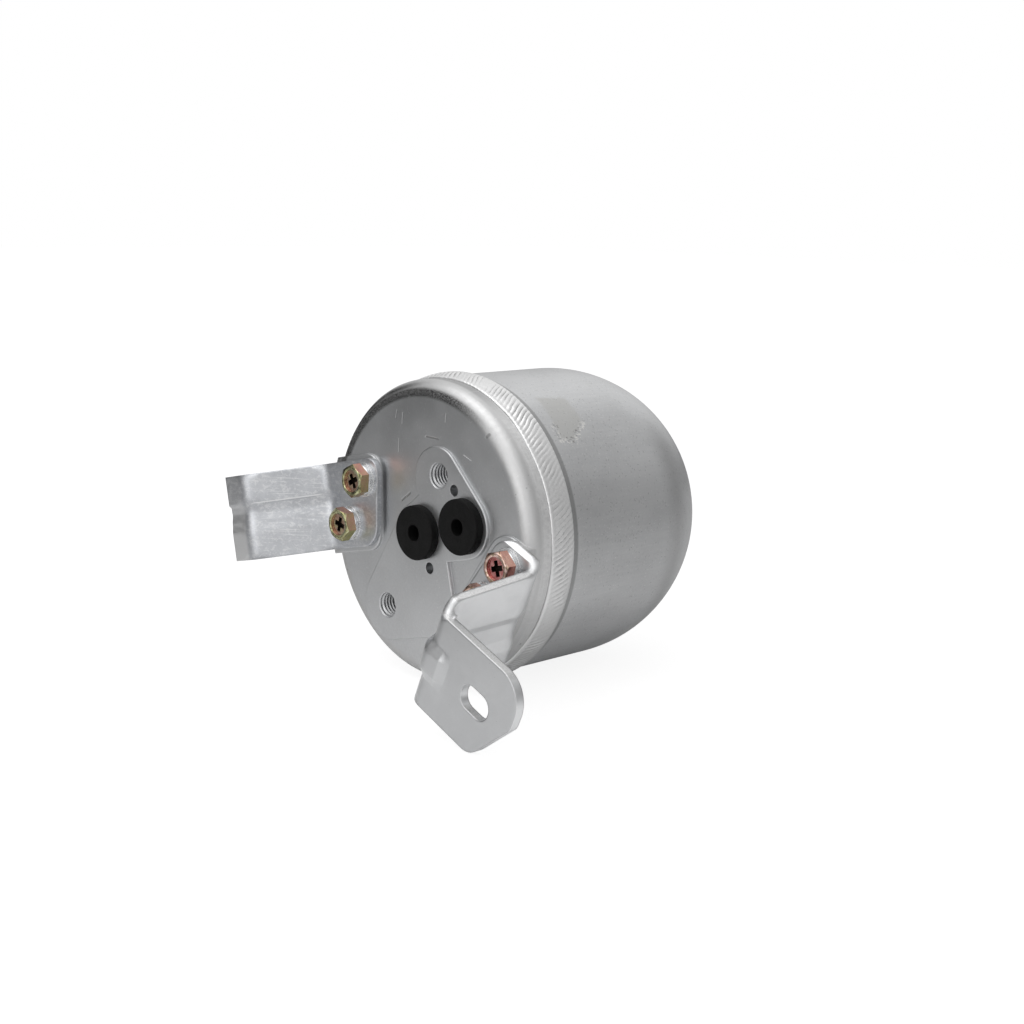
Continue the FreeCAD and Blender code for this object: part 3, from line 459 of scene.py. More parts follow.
def canister_look():
    """Drawn metal with specks, marks and nicks, an old label's residue, painted shade in the groove by the
    weld and a painted dark reflection at the dome's start.
    """
    look = Look("canister_aluminium_look")
    cloud = look.noise(look.stretch(look.place, (1.0, 0.45, 1.0)), 0.05, 5.0)
    grain = look.noise(look.place, 1.3, 4.0, 0.6)
    fine = look.noise(look.place, 5.0, 2.0)
    drawn = look.noise(look.stretch(look.place, (1.0, 0.05, 1.0)), 1.1, 3.0)
    marks = look.scratches(look.wrapped, (8, 62, 118, 154), length=4.2, width=0.13, share=0.28, pitch=8.0)
    nicks = look.scratches(look.wrapped, (20, 75, 140), length=2.4, width=0.15, share=0.28, pitch=8.0)
    specks = look.dots(look.place, 0.55, 0.11, 0.22)
    color = look.blend(look.span(cloud, 0.34, 0.66), gray(0.57, COOL), gray(0.66, COOL))
    color = look.layer(color, look.span(grain, 0.35, 0.7), 0.25, gray(0.72))
    color = look.layer(color, look.span(drawn, 0.4, 0.7), 0.18, gray(0.74))
    color = look.layer(color, marks, 0.5, gray(0.20))
    color = look.layer(color, nicks, 0.6, gray(0.90))
    color = look.layer(color, specks, 0.7, gray(0.10))
    residue, torn, dark = label_residue(look, grain)
    color = look.layer(color, residue, 0.36, (0.58, 0.57, 0.53))
    # Painted shade in the groove beside the weld's heel
    groove_shade = look.math("MULTIPLY", look.band(look.y, WELD_END_Y - 0.5, WELD_END_Y + 2.3, 0.35),
                       look.band(look.around, -38.0, 66.0, 8.0))
    color = look.layer(color, groove_shade, 0.55, gray(0.20))
    color = look.layer(color, torn, 0.8, (0.90, 0.89, 0.86))
    color = look.layer(color, dark, 0.8, (0.20, 0.19, 0.18))
    # A painted dark reflection in a band where the dome begins, except on its upper side
    shoulder_reflection = look.math("MULTIPLY", look.band(look.y, 28.0, 37.0, 5.0),
                         look.span(look.around, 44.0, 24.0))
    color = look.layer(color, shoulder_reflection, 0.35, gray(0.34))
    rough = look.math("ADD", look.span(cloud, 0.3, 0.7, 0.33, 0.40), look.math("MULTIPLY", residue, 0.16))
    normal = look.bump(look.math("ADD", fine, look.math("MULTIPLY", grain, 0.7)), 0.018, 0.9)
    normal = look.bump(drawn, 0.012, 0.8, normal)
    normal = look.bump(look.math("MAXIMUM", marks, nicks), -0.02, 0.7, normal)
    return look.finish(color, rough, normal=normal)


def label_residue(look, grain):
    """A torn patch of old adhesive near the weld: its body, and pale and dark bits at its lower end."""
    middle = (sum(u for u, y in RESIDUE) / len(RESIDUE), sum(y for u, y in RESIDUE) / len(RESIDUE))

    # The depth inside the patch is the least distance to its edges
    inside = None
    for (u, y), (next_u, next_y) in zip(RESIDUE, RESIDUE[1:] + RESIDUE[:1]):
        length = math.hypot(next_u - u, next_y - y)
        across = ((y - next_y) / length, (next_u - u) / length)
        offset = -(across[0] * u + across[1] * y)
        side = 1.0 if across[0] * middle[0] + across[1] * middle[1] + offset > 0.0 else -1.0
        depth = look.math("MULTIPLY_ADD", look.around, side * across[0], side * offset)
        depth = look.math("ADD", depth, look.math("MULTIPLY", look.y, side * across[1]))
        inside = depth if inside is None else look.math("MINIMUM", inside, depth)
    ragged = look.noise(look.place, 0.8, 4.0, 0.7)
    depth = look.math("ADD", inside, look.span(ragged, 0.25, 0.75, -1.1, 1.1, smooth=False))
    body = look.math("MULTIPLY", look.span(depth, -0.3, 1.5), look.span(grain, 0.2, 0.6, 0.55, 1.0))
    lower = look.span(look.around, 44.0, 39.0)
    fringe = look.math("MULTIPLY", look.band(depth, -0.9, 1.3, 0.4), lower)
    torn = look.math("MULTIPLY", fringe, look.span(ragged, 0.50, 0.58))
    dark = look.math("MULTIPLY", fringe, look.span(ragged, 0.44, 0.38))
    return body, torn, dark


def weld_look():
    """Bright bead with painted shade in the valleys of its ripples and painted highlights on their crests,
    from the ripple height kept on its points.
    """
    look = Look("weld_aluminium_look")
    height = look.add("ShaderNodeAttribute")
    height.attribute_name = "ripple"
    ripple = height.outputs["Fac"]
    grain = look.noise(look.place, 2.2, 4.0, 0.65)
    cloud = look.noise(look.place, 0.12, 3.0)
    specks = look.dots(look.place, 0.7, 0.14, 0.14)
    color = look.blend(look.span(grain, 0.35, 0.7), gray(0.84), gray(0.94))
    color = look.layer(color, look.span(cloud, 0.4, 0.65), 0.25, gray(0.76))
    # Painted shade towards the underside
    color = look.blend(underside_shade(look), color, gray(0.48))
    # Painted shade in the ripples' valleys and painted highlights on their crests
    color = look.blend(look.span(ripple, -0.02, -0.13, 0.0, 0.75), color, gray(0.20))
    color = look.blend(look.span(ripple, 0.04, 0.12, 0.0, 0.6), color, gray(0.98))
    color = look.layer(color, specks, 0.6, gray(0.14))
    # A painted highlight along the bead's toe
    toe = look.band(look.y, WELD_START_Y - 0.2, WELD_START_Y + 1.3, 0.3)
    color = look.layer(color, toe, 0.6, gray(0.98))
    # Painted shade in the groove at the bead's heel
    groove_shade = look.band(look.y, WELD_END_Y - 0.45, WELD_END_Y + 0.6, 0.25)
    color = look.layer(color, groove_shade, 0.7, gray(0.12))
    rough = look.span(grain, 0.3, 0.7, 0.36, 0.48)
    normal = look.bump(grain, 0.03, 0.8)
    return look.finish(color, rough, normal=normal)


def bracket_look(name, low, high, tint, share, turns, up, soft, outwards, bends, face_shade,
                 crease=None):
    """Scratched sheet, cut edges in their own gray, painted shade on forward faces. A crease adds a painted
    highlight and a lip paler from painted light.
    """
    look = Look(name)
    cloud = look.noise(look.place, 0.09, 4.0)
    grain = look.noise(look.place, 2.0, 4.0, 0.65)
    fine = look.noise(look.place, 6.0, 2.0)
    frost = look.noise(look.stretch(look.place, (1.0, 1.0, 1.6)), 0.5, 5.0, 0.75, 0.6)
    tilted = look.combine(look.math("SUBTRACT", look.x, look.y), look.z, 0.0)
    marks = look.scratches(tilted, turns, length=3.0, width=0.13, share=share, pitch=4.0)
    pits = look.dots(look.place, 0.9, 0.13, 0.09)
    cut = look.facing(up, 0.90, 0.96)
    color = look.blend(look.span(cloud, 0.34, 0.66), gray(low, tint), gray(high, tint))
    color = look.layer(color, look.span(frost, 0.50, 0.60), 1.2 * share, gray(0.86))
    color = look.layer(color, look.span(grain, 0.35, 0.7), 0.2, gray(0.78, tint))
    color = look.layer(color, marks, 0.6, gray(0.92))
    # Painted shade on the faces that look straight forwards, at a share of face_shade
    flat_face = look.facing((0.0, -1.0, 0.0), 0.80, 0.97)
    color = look.layer(color, flat_face, face_shade, gray(0.30, tint))
    edge = look.blend(look.span(grain, 0.35, 0.65), gray(0.60), gray(0.74))
    color = look.blend(cut, color, edge)
    color = look.layer(color, pits, 0.6, gray(0.12))
    rough = look.span(frost, 0.35, 0.65, 0.30, 0.42)
    run = look.vector("DOT_PRODUCT", look.place, outwards)
    if crease is not None:
        across = look.vector("DOT_PRODUCT", look.place, SIDE_ACROSS)
        on_arm = look.math("MULTIPLY", look.span(run, 45.0, 47.5), look.span(run, 64.0, 62.0))
        # A painted highlight along the crease
        crease_highlight = look.math("MULTIPLY", look.band(across, crease - 0.25, crease + 0.10, 0.2), on_arm)
        color = look.layer(color, crease_highlight, 0.8, gray(0.97))
        # Painted light makes the lip paler, most towards its lower end
        lip = look.math("MULTIPLY", look.span(run, 66.5, 68.5), look.span(across, -22.0, -7.0, 0.2, 0.85))
        color = look.blend(lip, color, gray(0.84))
    near = 0.0
    for bend_run, bend_y in bends:
        gap = look.vector("DISTANCE", look.combine(run, look.y, 0.0), (bend_run, bend_y, 0.0))
        near = look.math("MAXIMUM", near, look.span(gap, 3.0, 6.0, 1.0, 0.0))
    normal = look.soft_edges(look.math("MULTIPLY_ADD", near, BEND_SOFTNESS, soft), 12)
    normal = look.bump(look.math("ADD", fine, grain), 0.022, 0.9, normal)
    normal = look.bump(marks, 0.02, 0.7, normal)
    return look.finish(color, rough, normal=normal)


def zinc_look(name, centres, top, rim_stops, dish_stops, side_stops, lit_side):
    """Chromated zinc on two screws: a rim ring, a stained dish, a cross painted dark as shade and facets
    painted lighter towards the light and darker away from it.
    """
    look = Look(name)
    away = look.nearest(centres)
    patch = look.noise(look.place, 0.45, 3.0, 0.6, 0.8)
    grain = look.noise(look.place, 3.0, 3.0)
    depth = look.math("SUBTRACT", look.y, top)
    spread = look.span(patch, 0.3, 0.7)

    # Colours of the rim ring, the dish and the facets
    rim = look.ramp(spread, rim_stops)
    dish = look.ramp(spread, dish_stops)
    # Painted light and shade: facets that face the light take the lighter stops
    toward_light = look.vector("DOT_PRODUCT", look.normal, lit_side)
    turned = look.math("ADD", look.math("MULTIPLY", toward_light, 0.42), 0.4)
    side = look.ramp(look.math("MULTIPLY_ADD", spread, 0.25, turned, clamp=True), side_stops)

    # The dish and the cross are told apart by their distance from the axis and their depth
    in_dish = look.math("MULTIPLY", look.span(away, DISH_RADIUS + 0.25, DISH_RADIUS - 0.15),
                        look.span(depth, 0.05, 0.30))
    in_cross = look.math("MULTIPLY", in_dish, look.span(depth, DISH_DEPTH + 0.10, DISH_DEPTH + 0.45))
    color = look.blend(look.facing((0.0, -1.0, 0.0), 0.35, 0.65), side, rim)
    color = look.blend(in_dish, color, dish)
    color = look.layer(color, look.span(grain, 0.45, 0.7), 0.18, gray(0.80))
    # Painted shade fills the cross recess with near black
    color = look.blend(in_cross, color, (0.035, 0.028, 0.022))
    rough = look.math("ADD", look.span(grain, 0.3, 0.7, 0.17, 0.27), look.math("MULTIPLY", in_cross, 0.5))
    ring = look.band(away, DISH_RADIUS + 0.25, HEAD_FLAT - 0.15, 0.45)
    front = look.math("MULTIPLY", ring, look.span(depth, 1.2, 0.6))
    normal = look.soft_edges(0.25)
    normal = look.bump(front, 0.5, 0.8, normal)
    normal = look.bump(grain, 0.012, 0.8, normal)
    return look.finish(color, rough, normal=normal)


def washer_look():
    """Bright zinc with faint turning marks."""
    look = Look("bright_zinc_look")
    grain = look.noise(look.place, 2.4, 3.0)
    turned = look.noise(look.stretch(look.place, (0.4, 5.0, 0.4)), 1.0, 3.0)
    color = look.blend(look.span(grain, 0.35, 0.7), gray(0.76, COOL), gray(0.88, COOL))
    color = look.layer(color, look.span(turned, 0.5, 0.7), 0.12, gray(0.95))
    normal = look.bump(look.math("ADD", grain, turned), 0.003, 0.6, look.soft_edges(0.3))
    return look.finish(color, look.span(grain, 0.3, 0.7, 0.22, 0.32), normal=normal)


def plain_metal(name, low, high, rough, tint=(0.0, 0.0, 0.0), streaks=(1.0, 1.0, 1.0)):
    look = Look(name)
    cloud = look.noise(look.place, 0.15, 4.0)
    grain = look.noise(look.stretch(look.place, streaks), 2.0, 4.0, 0.6)
    color = look.blend(look.span(cloud, 0.35, 0.65), gray(low, tint), gray(high, tint))
    color = look.layer(color, look.span(grain, 0.4, 0.7), 0.3, gray(high + 0.1, tint))
    normal = look.bump(grain, 0.02, 0.8)
    return look.finish(color, look.span(grain, 0.3, 0.7, rough, rough + 0.12), normal=normal)


# Plastics, rubber, felt and desiccant
def rubber_look():
    look = Look("plug_rubber_look")
    grain = look.noise(look.place, 2.5, 4.0, 0.6)
    cloud = look.noise(look.place, 0.25, 3.0)
    dust = look.dots(look.place, 1.4, 0.16, 0.12)
    color = look.blend(look.span(cloud, 0.3, 0.7), gray(0.0030), gray(0.0055))
    color = look.layer(color, dust, 0.2, gray(0.03))
    normal = look.bump(grain, 0.03, 0.8, look.soft_edges(0.3))
    rough = look.span(grain, 0.3, 0.7, 0.60, 0.74)
    return look.finish(color, rough, metallic=0.0, normal=normal, Specular_IOR_Level=0.18)


def strainer_look():
    look = Look("strainer_plastic_look")
    cloud = look.noise(look.place, 0.3, 3.0)
    mesh = look.noise(look.stretch(look.place, (3.0, 3.0, 3.0)), 1.0, 2.0)
    color = look.blend(look.span(cloud, 0.3, 0.7), (0.72, 0.70, 0.64), (0.80, 0.78, 0.72))
    normal = look.bump(mesh, 0.05, 0.8)
    return look.finish(color, look.span(mesh, 0.3, 0.7, 0.45, 0.55), metallic=0.0, normal=normal)


def felt_look():
    look = Look("filter_felt_look")
    fibres = look.noise(look.stretch(look.place, (0.6, 3.0, 3.0)), 1.0, 6.0, 0.7, 2.0)
    crossed = look.noise(look.stretch(look.place, (3.0, 3.0, 0.6)), 1.1, 6.0, 0.7, 2.0)
    both = look.math("MAXIMUM", fibres, crossed)
    color = look.blend(look.span(both, 0.4, 0.75), (0.55, 0.54, 0.50), (0.84, 0.83, 0.80))
    normal = look.bump(both, 0.25, 0.9)
    return look.finish(color, 0.95, metallic=0.0, normal=normal, Sheen_Weight=0.3)


def desiccant_look():
    look = Look("desiccant_look")
    cell = look.add("ShaderNodeTexVoronoi")
    look.tree.links.new(look.place, cell.inputs["Vector"])
    cell.inputs["Scale"].default_value = 0.5
    height = look.span(cell.outputs["Distance"], 0.0, 0.75, 1.0, 0.0)
    grain = look.noise(look.place, 2.5, 3.0)
    # Painted shade darkens the gaps between the beads
    color = look.blend(height, (0.28, 0.24, 0.18), (0.72, 0.66, 0.55))
    color = look.layer(color, grain, 0.2, (0.86, 0.82, 0.72))
    normal = look.bump(grain, 0.05, 0.8, look.bump(height, 0.8, 1.0))
    return look.finish(color, 0.85, metallic=0.0, normal=normal)


looks = {
    "header_aluminium": header_look(),
    "canister_aluminium": canister_look(),
    "weld_aluminium": weld_look(),
    "plug_rubber": rubber_look(),
    "side_bracket_metal": bracket_look("side_bracket_look", low=0.51, high=0.58, tint=BLUISH, share=0.36,
                                       turns=(12, 48, 95, 128, 160), up=SIDE_UP, soft=0.9,
                                       outwards=SIDE_OUT, bends=SIDE_BENDS, face_shade=0.0,
                                       crease=SIDE_CREASE_Q),
    "foot_bracket_metal": bracket_look("foot_bracket_look", low=0.75, high=0.82, tint=COOL, share=0.12,
                                       turns=(20, 75, 130), up=FOOT_UP, soft=1.0,
                                       outwards=FOOT_OUT, bends=FOOT_BENDS, face_shade=0.45),
    "olive_zinc": zinc_look("olive_zinc_look", SIDE_SCREWS, SIDE_HEAD_TOP, OLIVE_RIM, BROWN_DISH,
                            OLIVE_SIDE, FACETS_LIT_FROM),
    "pink_zinc": zinc_look("pink_zinc_look", FOOT_SCREWS, FOOT_HEAD_TOP, PINK_RIM, RED_DISH,
                           PINK_SIDE, FACETS_LIT_FROM),
    "bright_zinc": washer_look(),
    "tube_aluminium": plain_metal("tube_aluminium_look", 0.60, 0.70, 0.28, COOL, (1.0, 0.1, 1.0)),
    "strainer_plastic": strainer_look(),
    "spring_steel": plain_metal("spring_steel_look", 0.42, 0.52, 0.30, (0.0, 0.004, 0.014)),
    "plate_steel": plain_metal("plate_steel_look", 0.50, 0.60, 0.34, COOL),
    "filter_felt": felt_look(),
    "desiccant": desiccant_look(),
}

for node in nodes.values():
    for slot in node.material_slots:
        slot.material = looks[slot.material.name.split(".")[0]]


# Pieces made here
def make_piece(name, verts, faces, look, smooth=True):
    mesh = bpy.data.meshes.new(name)
    mesh.from_pydata([(x * MM, y * MM, z * MM) for x, y, z in verts], [], faces)
    mesh.validate()
    mesh.update()
    for polygon in mesh.polygons:
        polygon.use_smooth = smooth
    piece = bpy.data.objects.new(name, mesh)
    bpy.context.scene.collection.objects.link(piece)
    mesh.materials.append(look)
    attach(piece, "root")
    return piece


def wrap_grid(rows, columns):
    """Quads of a grid that closes on itself both ways."""
    faces = []
    for column in range(columns):
        here = column * rows
        after = (column + 1) % columns * rows
        for row in range(rows):
            below = (row + 1) % rows
            faces.append((here + row, here + below, after + below, after + row))
    return faces


def swept_faces(base, corners, steps):
    """Quads along a swept closed section whose points start at base, with a cap at each end."""
    faces = []
    for step in range(steps):
        here = base + corners * step
        for side in range(corners):
            after = (side + 1) % corners
            faces.append((here + side, here + after, here + corners + after, here + corners + side))
    faces.append(tuple(base + side for side in reversed(range(corners))))
    faces.append(tuple(base + corners * steps + side for side in range(corners)))
    return faces


def weld_radius(share):
    """The bead's smooth section, from its toe on the header to its heel on the canister."""
    toe = WELD_TOE_RISE * math.exp(-((share - 0.07) / 0.05) ** 2)
    if share < WELD_CREST_SHARE:
        fall = 1.0 - share / WELD_CREST_SHARE
        return HEADER_RADIUS + toe + WELD_CREST_RISE * max(1.0 - fall * fall, 0.0) ** 1.1
    past = (share - WELD_CREST_SHARE) / (1.0 - WELD_CREST_SHARE)
    return BODY_RADIUS + WELD_HEEL_RISE * math.sqrt(max(1.0 - past * past, 0.0))


def weld_ripple(share, angle):
    """Height of the solidification ripples, which lean back along the bead."""
    lean = WELD_RIPPLE_LEAN * (0.65 * share + 0.35 * share * share * (3.0 - 2.0 * share))
    around = (math.cos(angle), math.sin(angle))

    # Drift and jitter space the ripples unevenly
    drift = 3.4 * smooth_noise.noise(Vector((5.0 * around[0], 5.0 * around[1], 1.3 * share)))
    jitter = 1.5 * smooth_noise.noise(Vector((17.0 * around[0], 17.0 * around[1], 2.2 * share + 3.0)))
    phase = WELD_RIPPLES * (angle - lean / BODY_RADIUS) + drift + jitter
    wave = abs(math.sin(0.5 * phase)) ** 0.8 - 0.55

    # They die out at toe and heel, fade in patches and are weaker on the underside
    window = math.sin(math.pi * min(max(share, 0.0), 1.0)) ** 0.6
    patchy = 0.72 + 1.1 * smooth_noise.noise(Vector((7.0 * around[0], 7.0 * around[1], 4.0 + share)))
    patchy = min(max(patchy, 0.15), 1.25)
    fade = 1.0 if -0.06 < angle < 3.0 else 0.7
    fine = 0.03 * smooth_noise.noise(Vector((angle * 60.0, share * 9.0, 1.0)))
    return (WELD_RIPPLE_HEIGHT * wave * patchy * fade + fine) * window


def make_weld():
    """The bead as a closed ring: its rippled outside, and one row at its root."""
    columns = 1484
    outer = 26
    verts = []
    heights = []
    for column in range(columns):
        angle = 2.0 * math.pi * column / columns
        signed = angle if angle <= math.pi else angle - 2.0 * math.pi
        toe_shift = 0.35 * smooth_noise.noise(Vector((math.cos(angle) * 6.0, math.sin(angle) * 6.0, 7.0)))
        for row in range(outer):
            share = row / (outer - 1)
            share = share if share < 0.8 else 0.8 + 0.2 * math.sin((share - 0.8) / 0.2 * math.pi / 2)
            y = WELD_START_Y + share * (WELD_END_Y - WELD_START_Y) + toe_shift * (1.0 - share)
            height = weld_ripple(share, signed)
            radius = weld_radius(share) + height - (0.03 if row in (0, outer - 1) else 0.0)
            verts.append((radius * math.cos(angle), y, radius * math.sin(angle)))
            heights.append(height)
        verts.append((WELD_ROOT_RADIUS * math.cos(angle), WELD_ROOT_Y, WELD_ROOT_RADIUS * math.sin(angle)))
        heights.append(0.0)
    faces = wrap_grid(outer + 1, columns)
    weld = make_piece("weld_ripples", verts, faces, looks["weld_aluminium"])
    ripple = weld.data.attributes.new("ripple", "FLOAT", "POINT")
    ripple.data.foreach_set("value", heights)
    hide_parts("weld_bead")


def make_thread(name, hole):
    """Internal thread ridges that run in from the mouth and die out at both ends."""
    steps = 44
    count = int(THREAD_TURNS * steps)
    foot = THREAD_MAJOR + 0.04
    verts = []
    for index in range(count + 1):
        angle = 2.0 * math.pi * index / steps
        y = PAD_Y + THREAD_START + THREAD_PITCH * index / steps
        ease = min(1.0, index / (0.4 * steps), (count - index) / (0.4 * steps))
        tip = THREAD_MAJOR + 0.02 - (THREAD_MAJOR - THREAD_MINOR) * max(ease, 0.02)
        for radius, shift in ((foot, -THREAD_FOOT_HALF), (tip, -THREAD_TIP_HALF),
                              (tip, THREAD_TIP_HALF), (foot, THREAD_FOOT_HALF)):
            verts.append((hole[0] + radius * math.cos(angle), y + shift,
                          hole[1] + radius * math.sin(angle)))
    faces = swept_faces(0, 4, count)
    make_piece(name, verts, faces, looks["header_aluminium"], smooth=False)


def eased(value, low, high):
    """Rises softly from zero to one between two values."""
    share = min(max((value - low) / (high - low), 0.0), 1.0)
    return share * share * (3.0 - 2.0 * share)


def rib_height(q):
    """How far the rib is pressed to the rear at a place across the side bracket."""
    share = (q - SIDE_RIB_Q) / SIDE_RIB_HALF
    for (low, start), (high, end) in zip(SIDE_RIB_PROFILE, SIDE_RIB_PROFILE[1:]):
        if low <= share < high:
            return SIDE_RIB_DEPTH * (start + (end - start) * eased(share, low, high))
    return 0.0


def bend_point(start_p, start_y, turn, side):
    """A point on a round bend that is level at the given place: side 1 starts there, side -1 ends there."""
    return (start_p + side * SIDE_BEND_RADIUS * math.sin(turn),
            start_y - side * SIDE_BEND_RADIUS * (1.0 - math.cos(turn)),
            turn)


def side_path():
    """The sheet's middle line from the first bend on: p, y and its slope, round both bends."""
    tangent = SIDE_BEND_RADIUS * math.tan(SIDE_BEND_ANGLE / 2.0)
    lip_p = SIDE_BEND_P + SIDE_ARM_REACH
    lip_y = SIDE_MIDDLE_Y - SIDE_ARM_REACH
    start = SIDE_BEND_P - tangent
    end = lip_p + tangent
    steps = 10
    turns = [SIDE_BEND_ANGLE * step / steps for step in range(steps + 1)]
    near = [bend_point(start, SIDE_MIDDLE_Y, turn, 1.0) for turn in turns]
    far = [bend_point(end, lip_y, turn, -1.0) for turn in reversed(turns)]
    arm = []
    for step in range(1, 12):
        share = step / 12
        arm.append((near[-1][0] + share * (far[0][0] - near[-1][0]),
                    near[-1][1] + share * (far[0][1] - near[-1][1]), SIDE_BEND_ANGLE))
    lip = [(end + (lip_p + SIDE_LIP - end) * step / 6, lip_y, 0.0) for step in range(1, 7)]
    return near + arm + far + lip


def base_start(q):
    """Where the base plate begins: a slanted edge with two round corners."""
    edge = SIDE_LOW_P + (SIDE_HIGH_P - SIDE_LOW_P) * (q - SIDE_LOW_Q) / (SIDE_HIGH_Q - SIDE_LOW_Q)
    inset = SIDE_CORNER - min(q - SIDE_LOW_Q, SIDE_HIGH_Q - q, SIDE_CORNER)
    return edge + SIDE_CORNER - math.sqrt(max(SIDE_CORNER ** 2 - inset ** 2, 0.0))


def side_columns():
    """Places across the sheet, closer together at its round corners."""
    corner = [SIDE_CORNER * (1.0 - math.cos(math.radians(10.0 * step))) for step in range(9)]
    low = SIDE_LOW_Q + SIDE_CORNER
    high = SIDE_HIGH_Q - SIDE_CORNER
    count = 56
    across = [SIDE_LOW_Q + run for run in corner]
    across += [low + (high - low) * step / count for step in range(count + 1)]
    across += [SIDE_HIGH_Q - run for run in reversed(corner)]
    return across


def side_point(p, y, q):
    """From the bracket's own run outwards and across to the part's frame."""
    return (p * SIDE_OUT[0] + q * SIDE_ACROSS[0], y, p * SIDE_OUT[2] + q * SIDE_ACROSS[2])


def make_side_arm():
    """The side bracket as bent sheet with round bends and a soft pressed rib."""
    path = side_path()
    base_rows = 16
    rows = base_rows + len(path)
    across = side_columns()
    front = []
    rear = []
    for q in across:
        start = base_start(q)
        reach = path[0][0] - start
        base = [(start + reach * row / base_rows, SIDE_MIDDLE_Y, 0.0) for row in range(base_rows)]
        for p, y, turn in base + path:
            press = rib_height(q) * eased(p, *SIDE_RIB_RUN)
            for side, half in ((front, SIDE_THICKNESS / 2), (rear, -SIDE_THICKNESS / 2)):
                offset = half - press
                side.append(side_point(p - offset * math.sin(turn), y - offset * math.cos(turn), q))
    back = len(front)
    last = len(across) - 1
    faces = []
    for column in range(last):
        for row in range(rows - 1):
            here = column * rows + row
            faces.append((here, here + 1, here + rows + 1, here + rows))
            faces.append((back + here, back + here + rows, back + here + rows + 1, back + here + 1))
    rim = list(range(rows))
    rim += [column * rows + rows - 1 for column in range(1, last + 1)]
    rim += [last * rows + row for row in reversed(range(rows - 1))]
    rim += [column * rows for column in reversed(range(1, last))]
    for here, after in zip(rim, rim[1:] + rim[:1]):
        faces.append((here, after, back + after, back + here))
    arm = make_piece("side_arm_sheet", front + rear, faces, looks["side_bracket_metal"])
    fix_normals(arm)
    arm.data.set_sharp_from_angle(angle=math.radians(38.0))
    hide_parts("side_bracket")


def fix_normals(piece):
    """Turns every face outwards."""
    shape = bmesh.new()
    shape.from_mesh(piece.data)
    bmesh.ops.recalc_face_normals(shape, faces=shape.faces)
    shape.to_mesh(piece.data)
    shape.free()


def make_spring_washers(name, node, centres, front_y):
    """Split rings with bevelled edges, their slits turned away from the camera."""
    rear_y = front_y + SPRING_WASHER_THICKNESS
    ease = SPRING_WASHER_EASE
    inner = SPRING_WASHER_BORE
    outer = SPRING_WASHER_RADIUS
    section = [(inner, front_y + ease), (inner + ease, front_y),
               (outer - ease, front_y), (outer, front_y + ease),
               (outer, rear_y - ease), (outer - ease, rear_y),
               (inner + ease, rear_y), (inner, rear_y - ease)]
    steps = 80
    first = math.radians(SLIT_TURN + 5.0)
    sweep = math.radians(350.0)
    verts = []
    faces = []
    for x, z in centres:
        base = len(verts)
        for step in range(steps + 1):
            angle = first + sweep * step / steps
            for radius, y in section:
                verts.append((x + radius * math.cos(angle), y, z + radius * math.sin(angle)))
        faces += swept_faces(base, len(section), steps)
    rings = make_piece(name, verts, faces, looks["bright_zinc"], smooth=False)
    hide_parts(node)


make_spring_washers("side_spring_rings", "side_spring_washers", SIDE_SCREWS, SIDE_HEAD_TOP + HEAD_HEIGHT)
make_spring_washers("foot_spring_rings", "foot_spring_washers", FOOT_SCREWS, FOOT_HEAD_TOP + HEAD_HEIGHT)
make_side_arm()
make_weld()
for name, hole in TAPPED_HOLES.items():
    make_thread(name, hole)


# Stage, light and camera
def make_floor():
    z = cad_box[0][2] - FLOOR_GAP
    corners = [(-FLOOR_HALF, -FLOOR_HALF, z), (FLOOR_HALF, -FLOOR_HALF, z),
               (FLOOR_HALF, FLOOR_HALF, z), (-FLOOR_HALF, FLOOR_HALF, z)]
    mesh = bpy.data.meshes.new("floor")
    mesh.from_pydata(corners, [], [(0, 1, 2, 3)])
    mesh.update()
    mesh.materials.append(floor_look())
    floor = bpy.data.objects.new("floor", mesh)
    bpy.context.scene.collection.objects.link(floor)


def floor_look():
    """White to camera and transmission rays, pale for other rays, and in glossy reflections a painted pool
    of light near the part with painted shade to the left.
    """
    material = bpy.data.materials.new("floor_look")
    material.use_nodes = True
    tree = Nodes(material.node_tree)
    output = tree.add("ShaderNodeOutputMaterial")
    path = tree.add("ShaderNodeLightPath")
    place = tree.add("ShaderNodeTexCoord").outputs["Object"]
    split = tree.add("ShaderNodeSeparateXYZ")
    tree.feed(split.inputs[0], place)

    def lit(color, glow):
        diffuse = tree.add("ShaderNodeBsdfDiffuse")
        tree.feed(diffuse.inputs["Color"], color)
        emission = tree.add("ShaderNodeEmission")
        emission.inputs["Strength"].default_value = glow
        both = tree.add("ShaderNodeAddShader")
        tree.feed(both.inputs[0], diffuse.outputs[0])
        tree.feed(both.inputs[1], emission.outputs[0])
        return both.outputs[0]

    def choose(flag, off, on):
        mix = tree.add("ShaderNodeMixShader")
        for socket, value in zip(mix.inputs, (path.outputs[flag], off, on)):
            tree.feed(socket, value)
        return mix.outputs[0]

    # In glossy rays the floor carries a painted pool of light near the part and painted shade to the left
    reach = tree.vector("DISTANCE", place, (*FLOOR_LIGHT_POOL, cad_box[0][2]))
    light_pool = tree.span(reach, 0.04, 0.20, 1.0, 0.58)
    left_shade = tree.span(split.outputs["X"], -0.50, -0.20, 0.12, 1.0)
    seen = lit((*gray(0.24), 1.0), 0.88)
    mirrored = lit(tree.math("MULTIPLY", light_pool, left_shade), 0.02)
    shader = choose("Is Glossy Ray", lit((*gray(0.70), 1.0), 0.0), mirrored)
    shader = choose("Is Camera Ray", shader, seen)
    shader = choose("Is Transmission Ray", shader, seen)
    tree.feed(output.inputs["Surface"], shader)
    return material


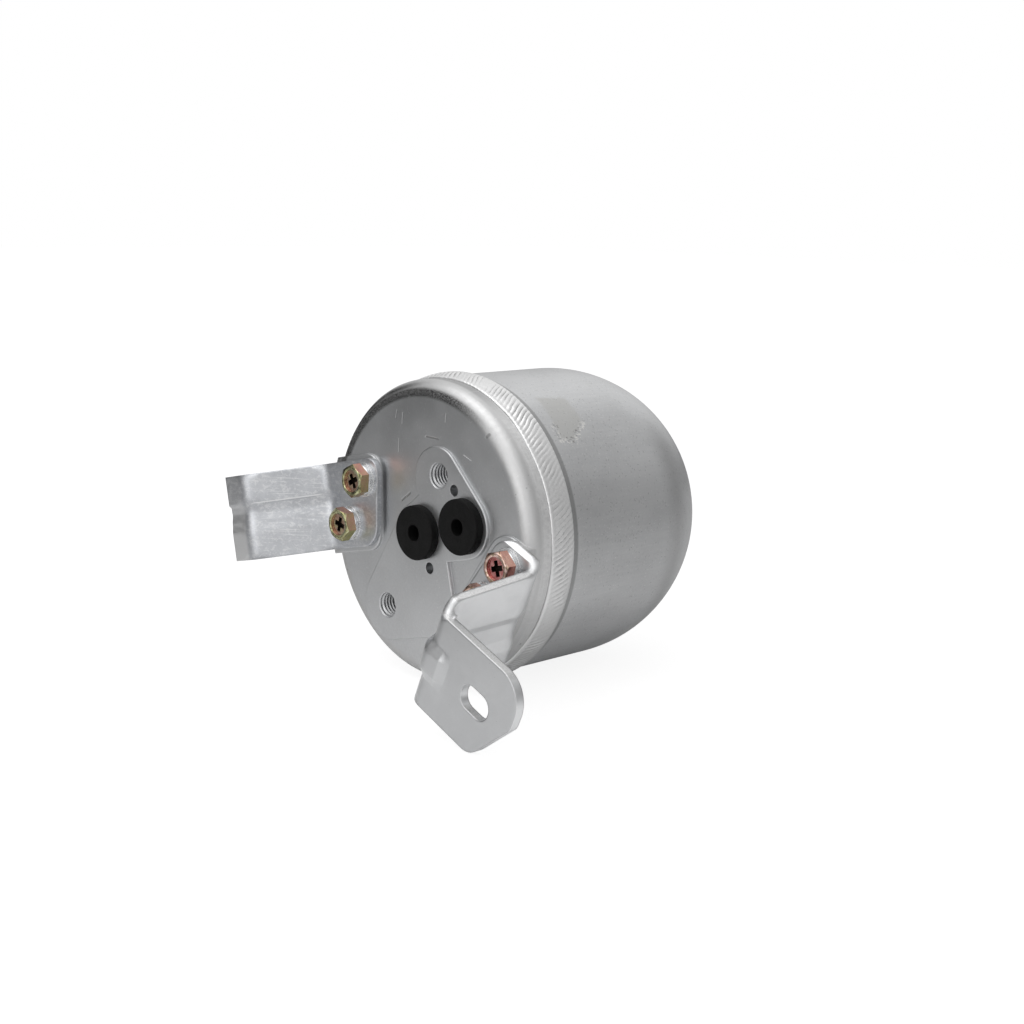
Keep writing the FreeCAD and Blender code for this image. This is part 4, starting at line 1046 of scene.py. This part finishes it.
def studio_world():
    """A white studio whose walls differ in brightness. The camera sees plain white."""
    world = bpy.data.worlds.new("studio")
    bpy.context.scene.world = world
    world.use_nodes = True
    tree = Nodes(world.node_tree)
    output = tree.add("ShaderNodeOutputWorld")
    background = tree.add("ShaderNodeBackground")
    path = tree.add("ShaderNodeLightPath")
    direction = tree.add("ShaderNodeTexCoord").outputs["Generated"]
    total = 0.0
    for aim, low, high, dark, light in STUDIO_LOBES:
        facing = tree.vector("DOT_PRODUCT", direction, Vector(aim).normalized())
        total = tree.math("ADD", total, tree.span(facing, low, high, dark, light))
    seen = tree.math("MAXIMUM", path.outputs["Is Camera Ray"], path.outputs["Is Transmission Ray"])
    strength = tree.add("ShaderNodeMix")
    strength.data_type = "FLOAT"
    tree.feed(strength.inputs[0], seen)
    tree.feed(strength.inputs[2], total)
    strength.inputs[3].default_value = 1.0
    tree.feed(background.inputs["Strength"], strength.outputs[0])
    background.inputs["Color"].default_value = (*gray(1.0), 1.0)
    tree.feed(output.inputs["Surface"], background.outputs[0])


def soft_lamp(name, direction, distance, size, power):
    data = bpy.data.lights.new(name, "AREA")
    data.shape = "RECTANGLE"
    data.size = size[0]
    data.size_y = size[1]
    data.energy = power
    lamp = bpy.data.objects.new(name, data)
    bpy.context.scene.collection.objects.link(lamp)
    place = Vector(direction).normalized() * distance
    lamp.location = place
    lamp.rotation_euler = (-place).to_track_quat("-Z", "Y").to_euler()


def make_camera():
    data = bpy.data.cameras.new("camera")
    data.sensor_fit = "HORIZONTAL"
    data.sensor_width = SENSOR_WIDTH
    data.lens = LENS
    data.clip_start = 0.01
    data.clip_end = 20.0
    camera = bpy.data.objects.new("camera", data)
    bpy.context.scene.collection.objects.link(camera)
    axes = Matrix((CAMERA_RIGHT, CAMERA_UP, CAMERA_BACK)).transposed().to_4x4()
    camera.matrix_world = Matrix.Translation(Vector(CAMERA_PLACE) * MM) @ axes
    bpy.context.scene.camera = camera


make_floor()
studio_world()
soft_lamp("overhead_lamp", (-0.08, -0.32, 0.94), 0.9, (0.7, 0.7), 1.9)
make_camera()
bpy.context.scene.view_settings.view_transform = "Standard"
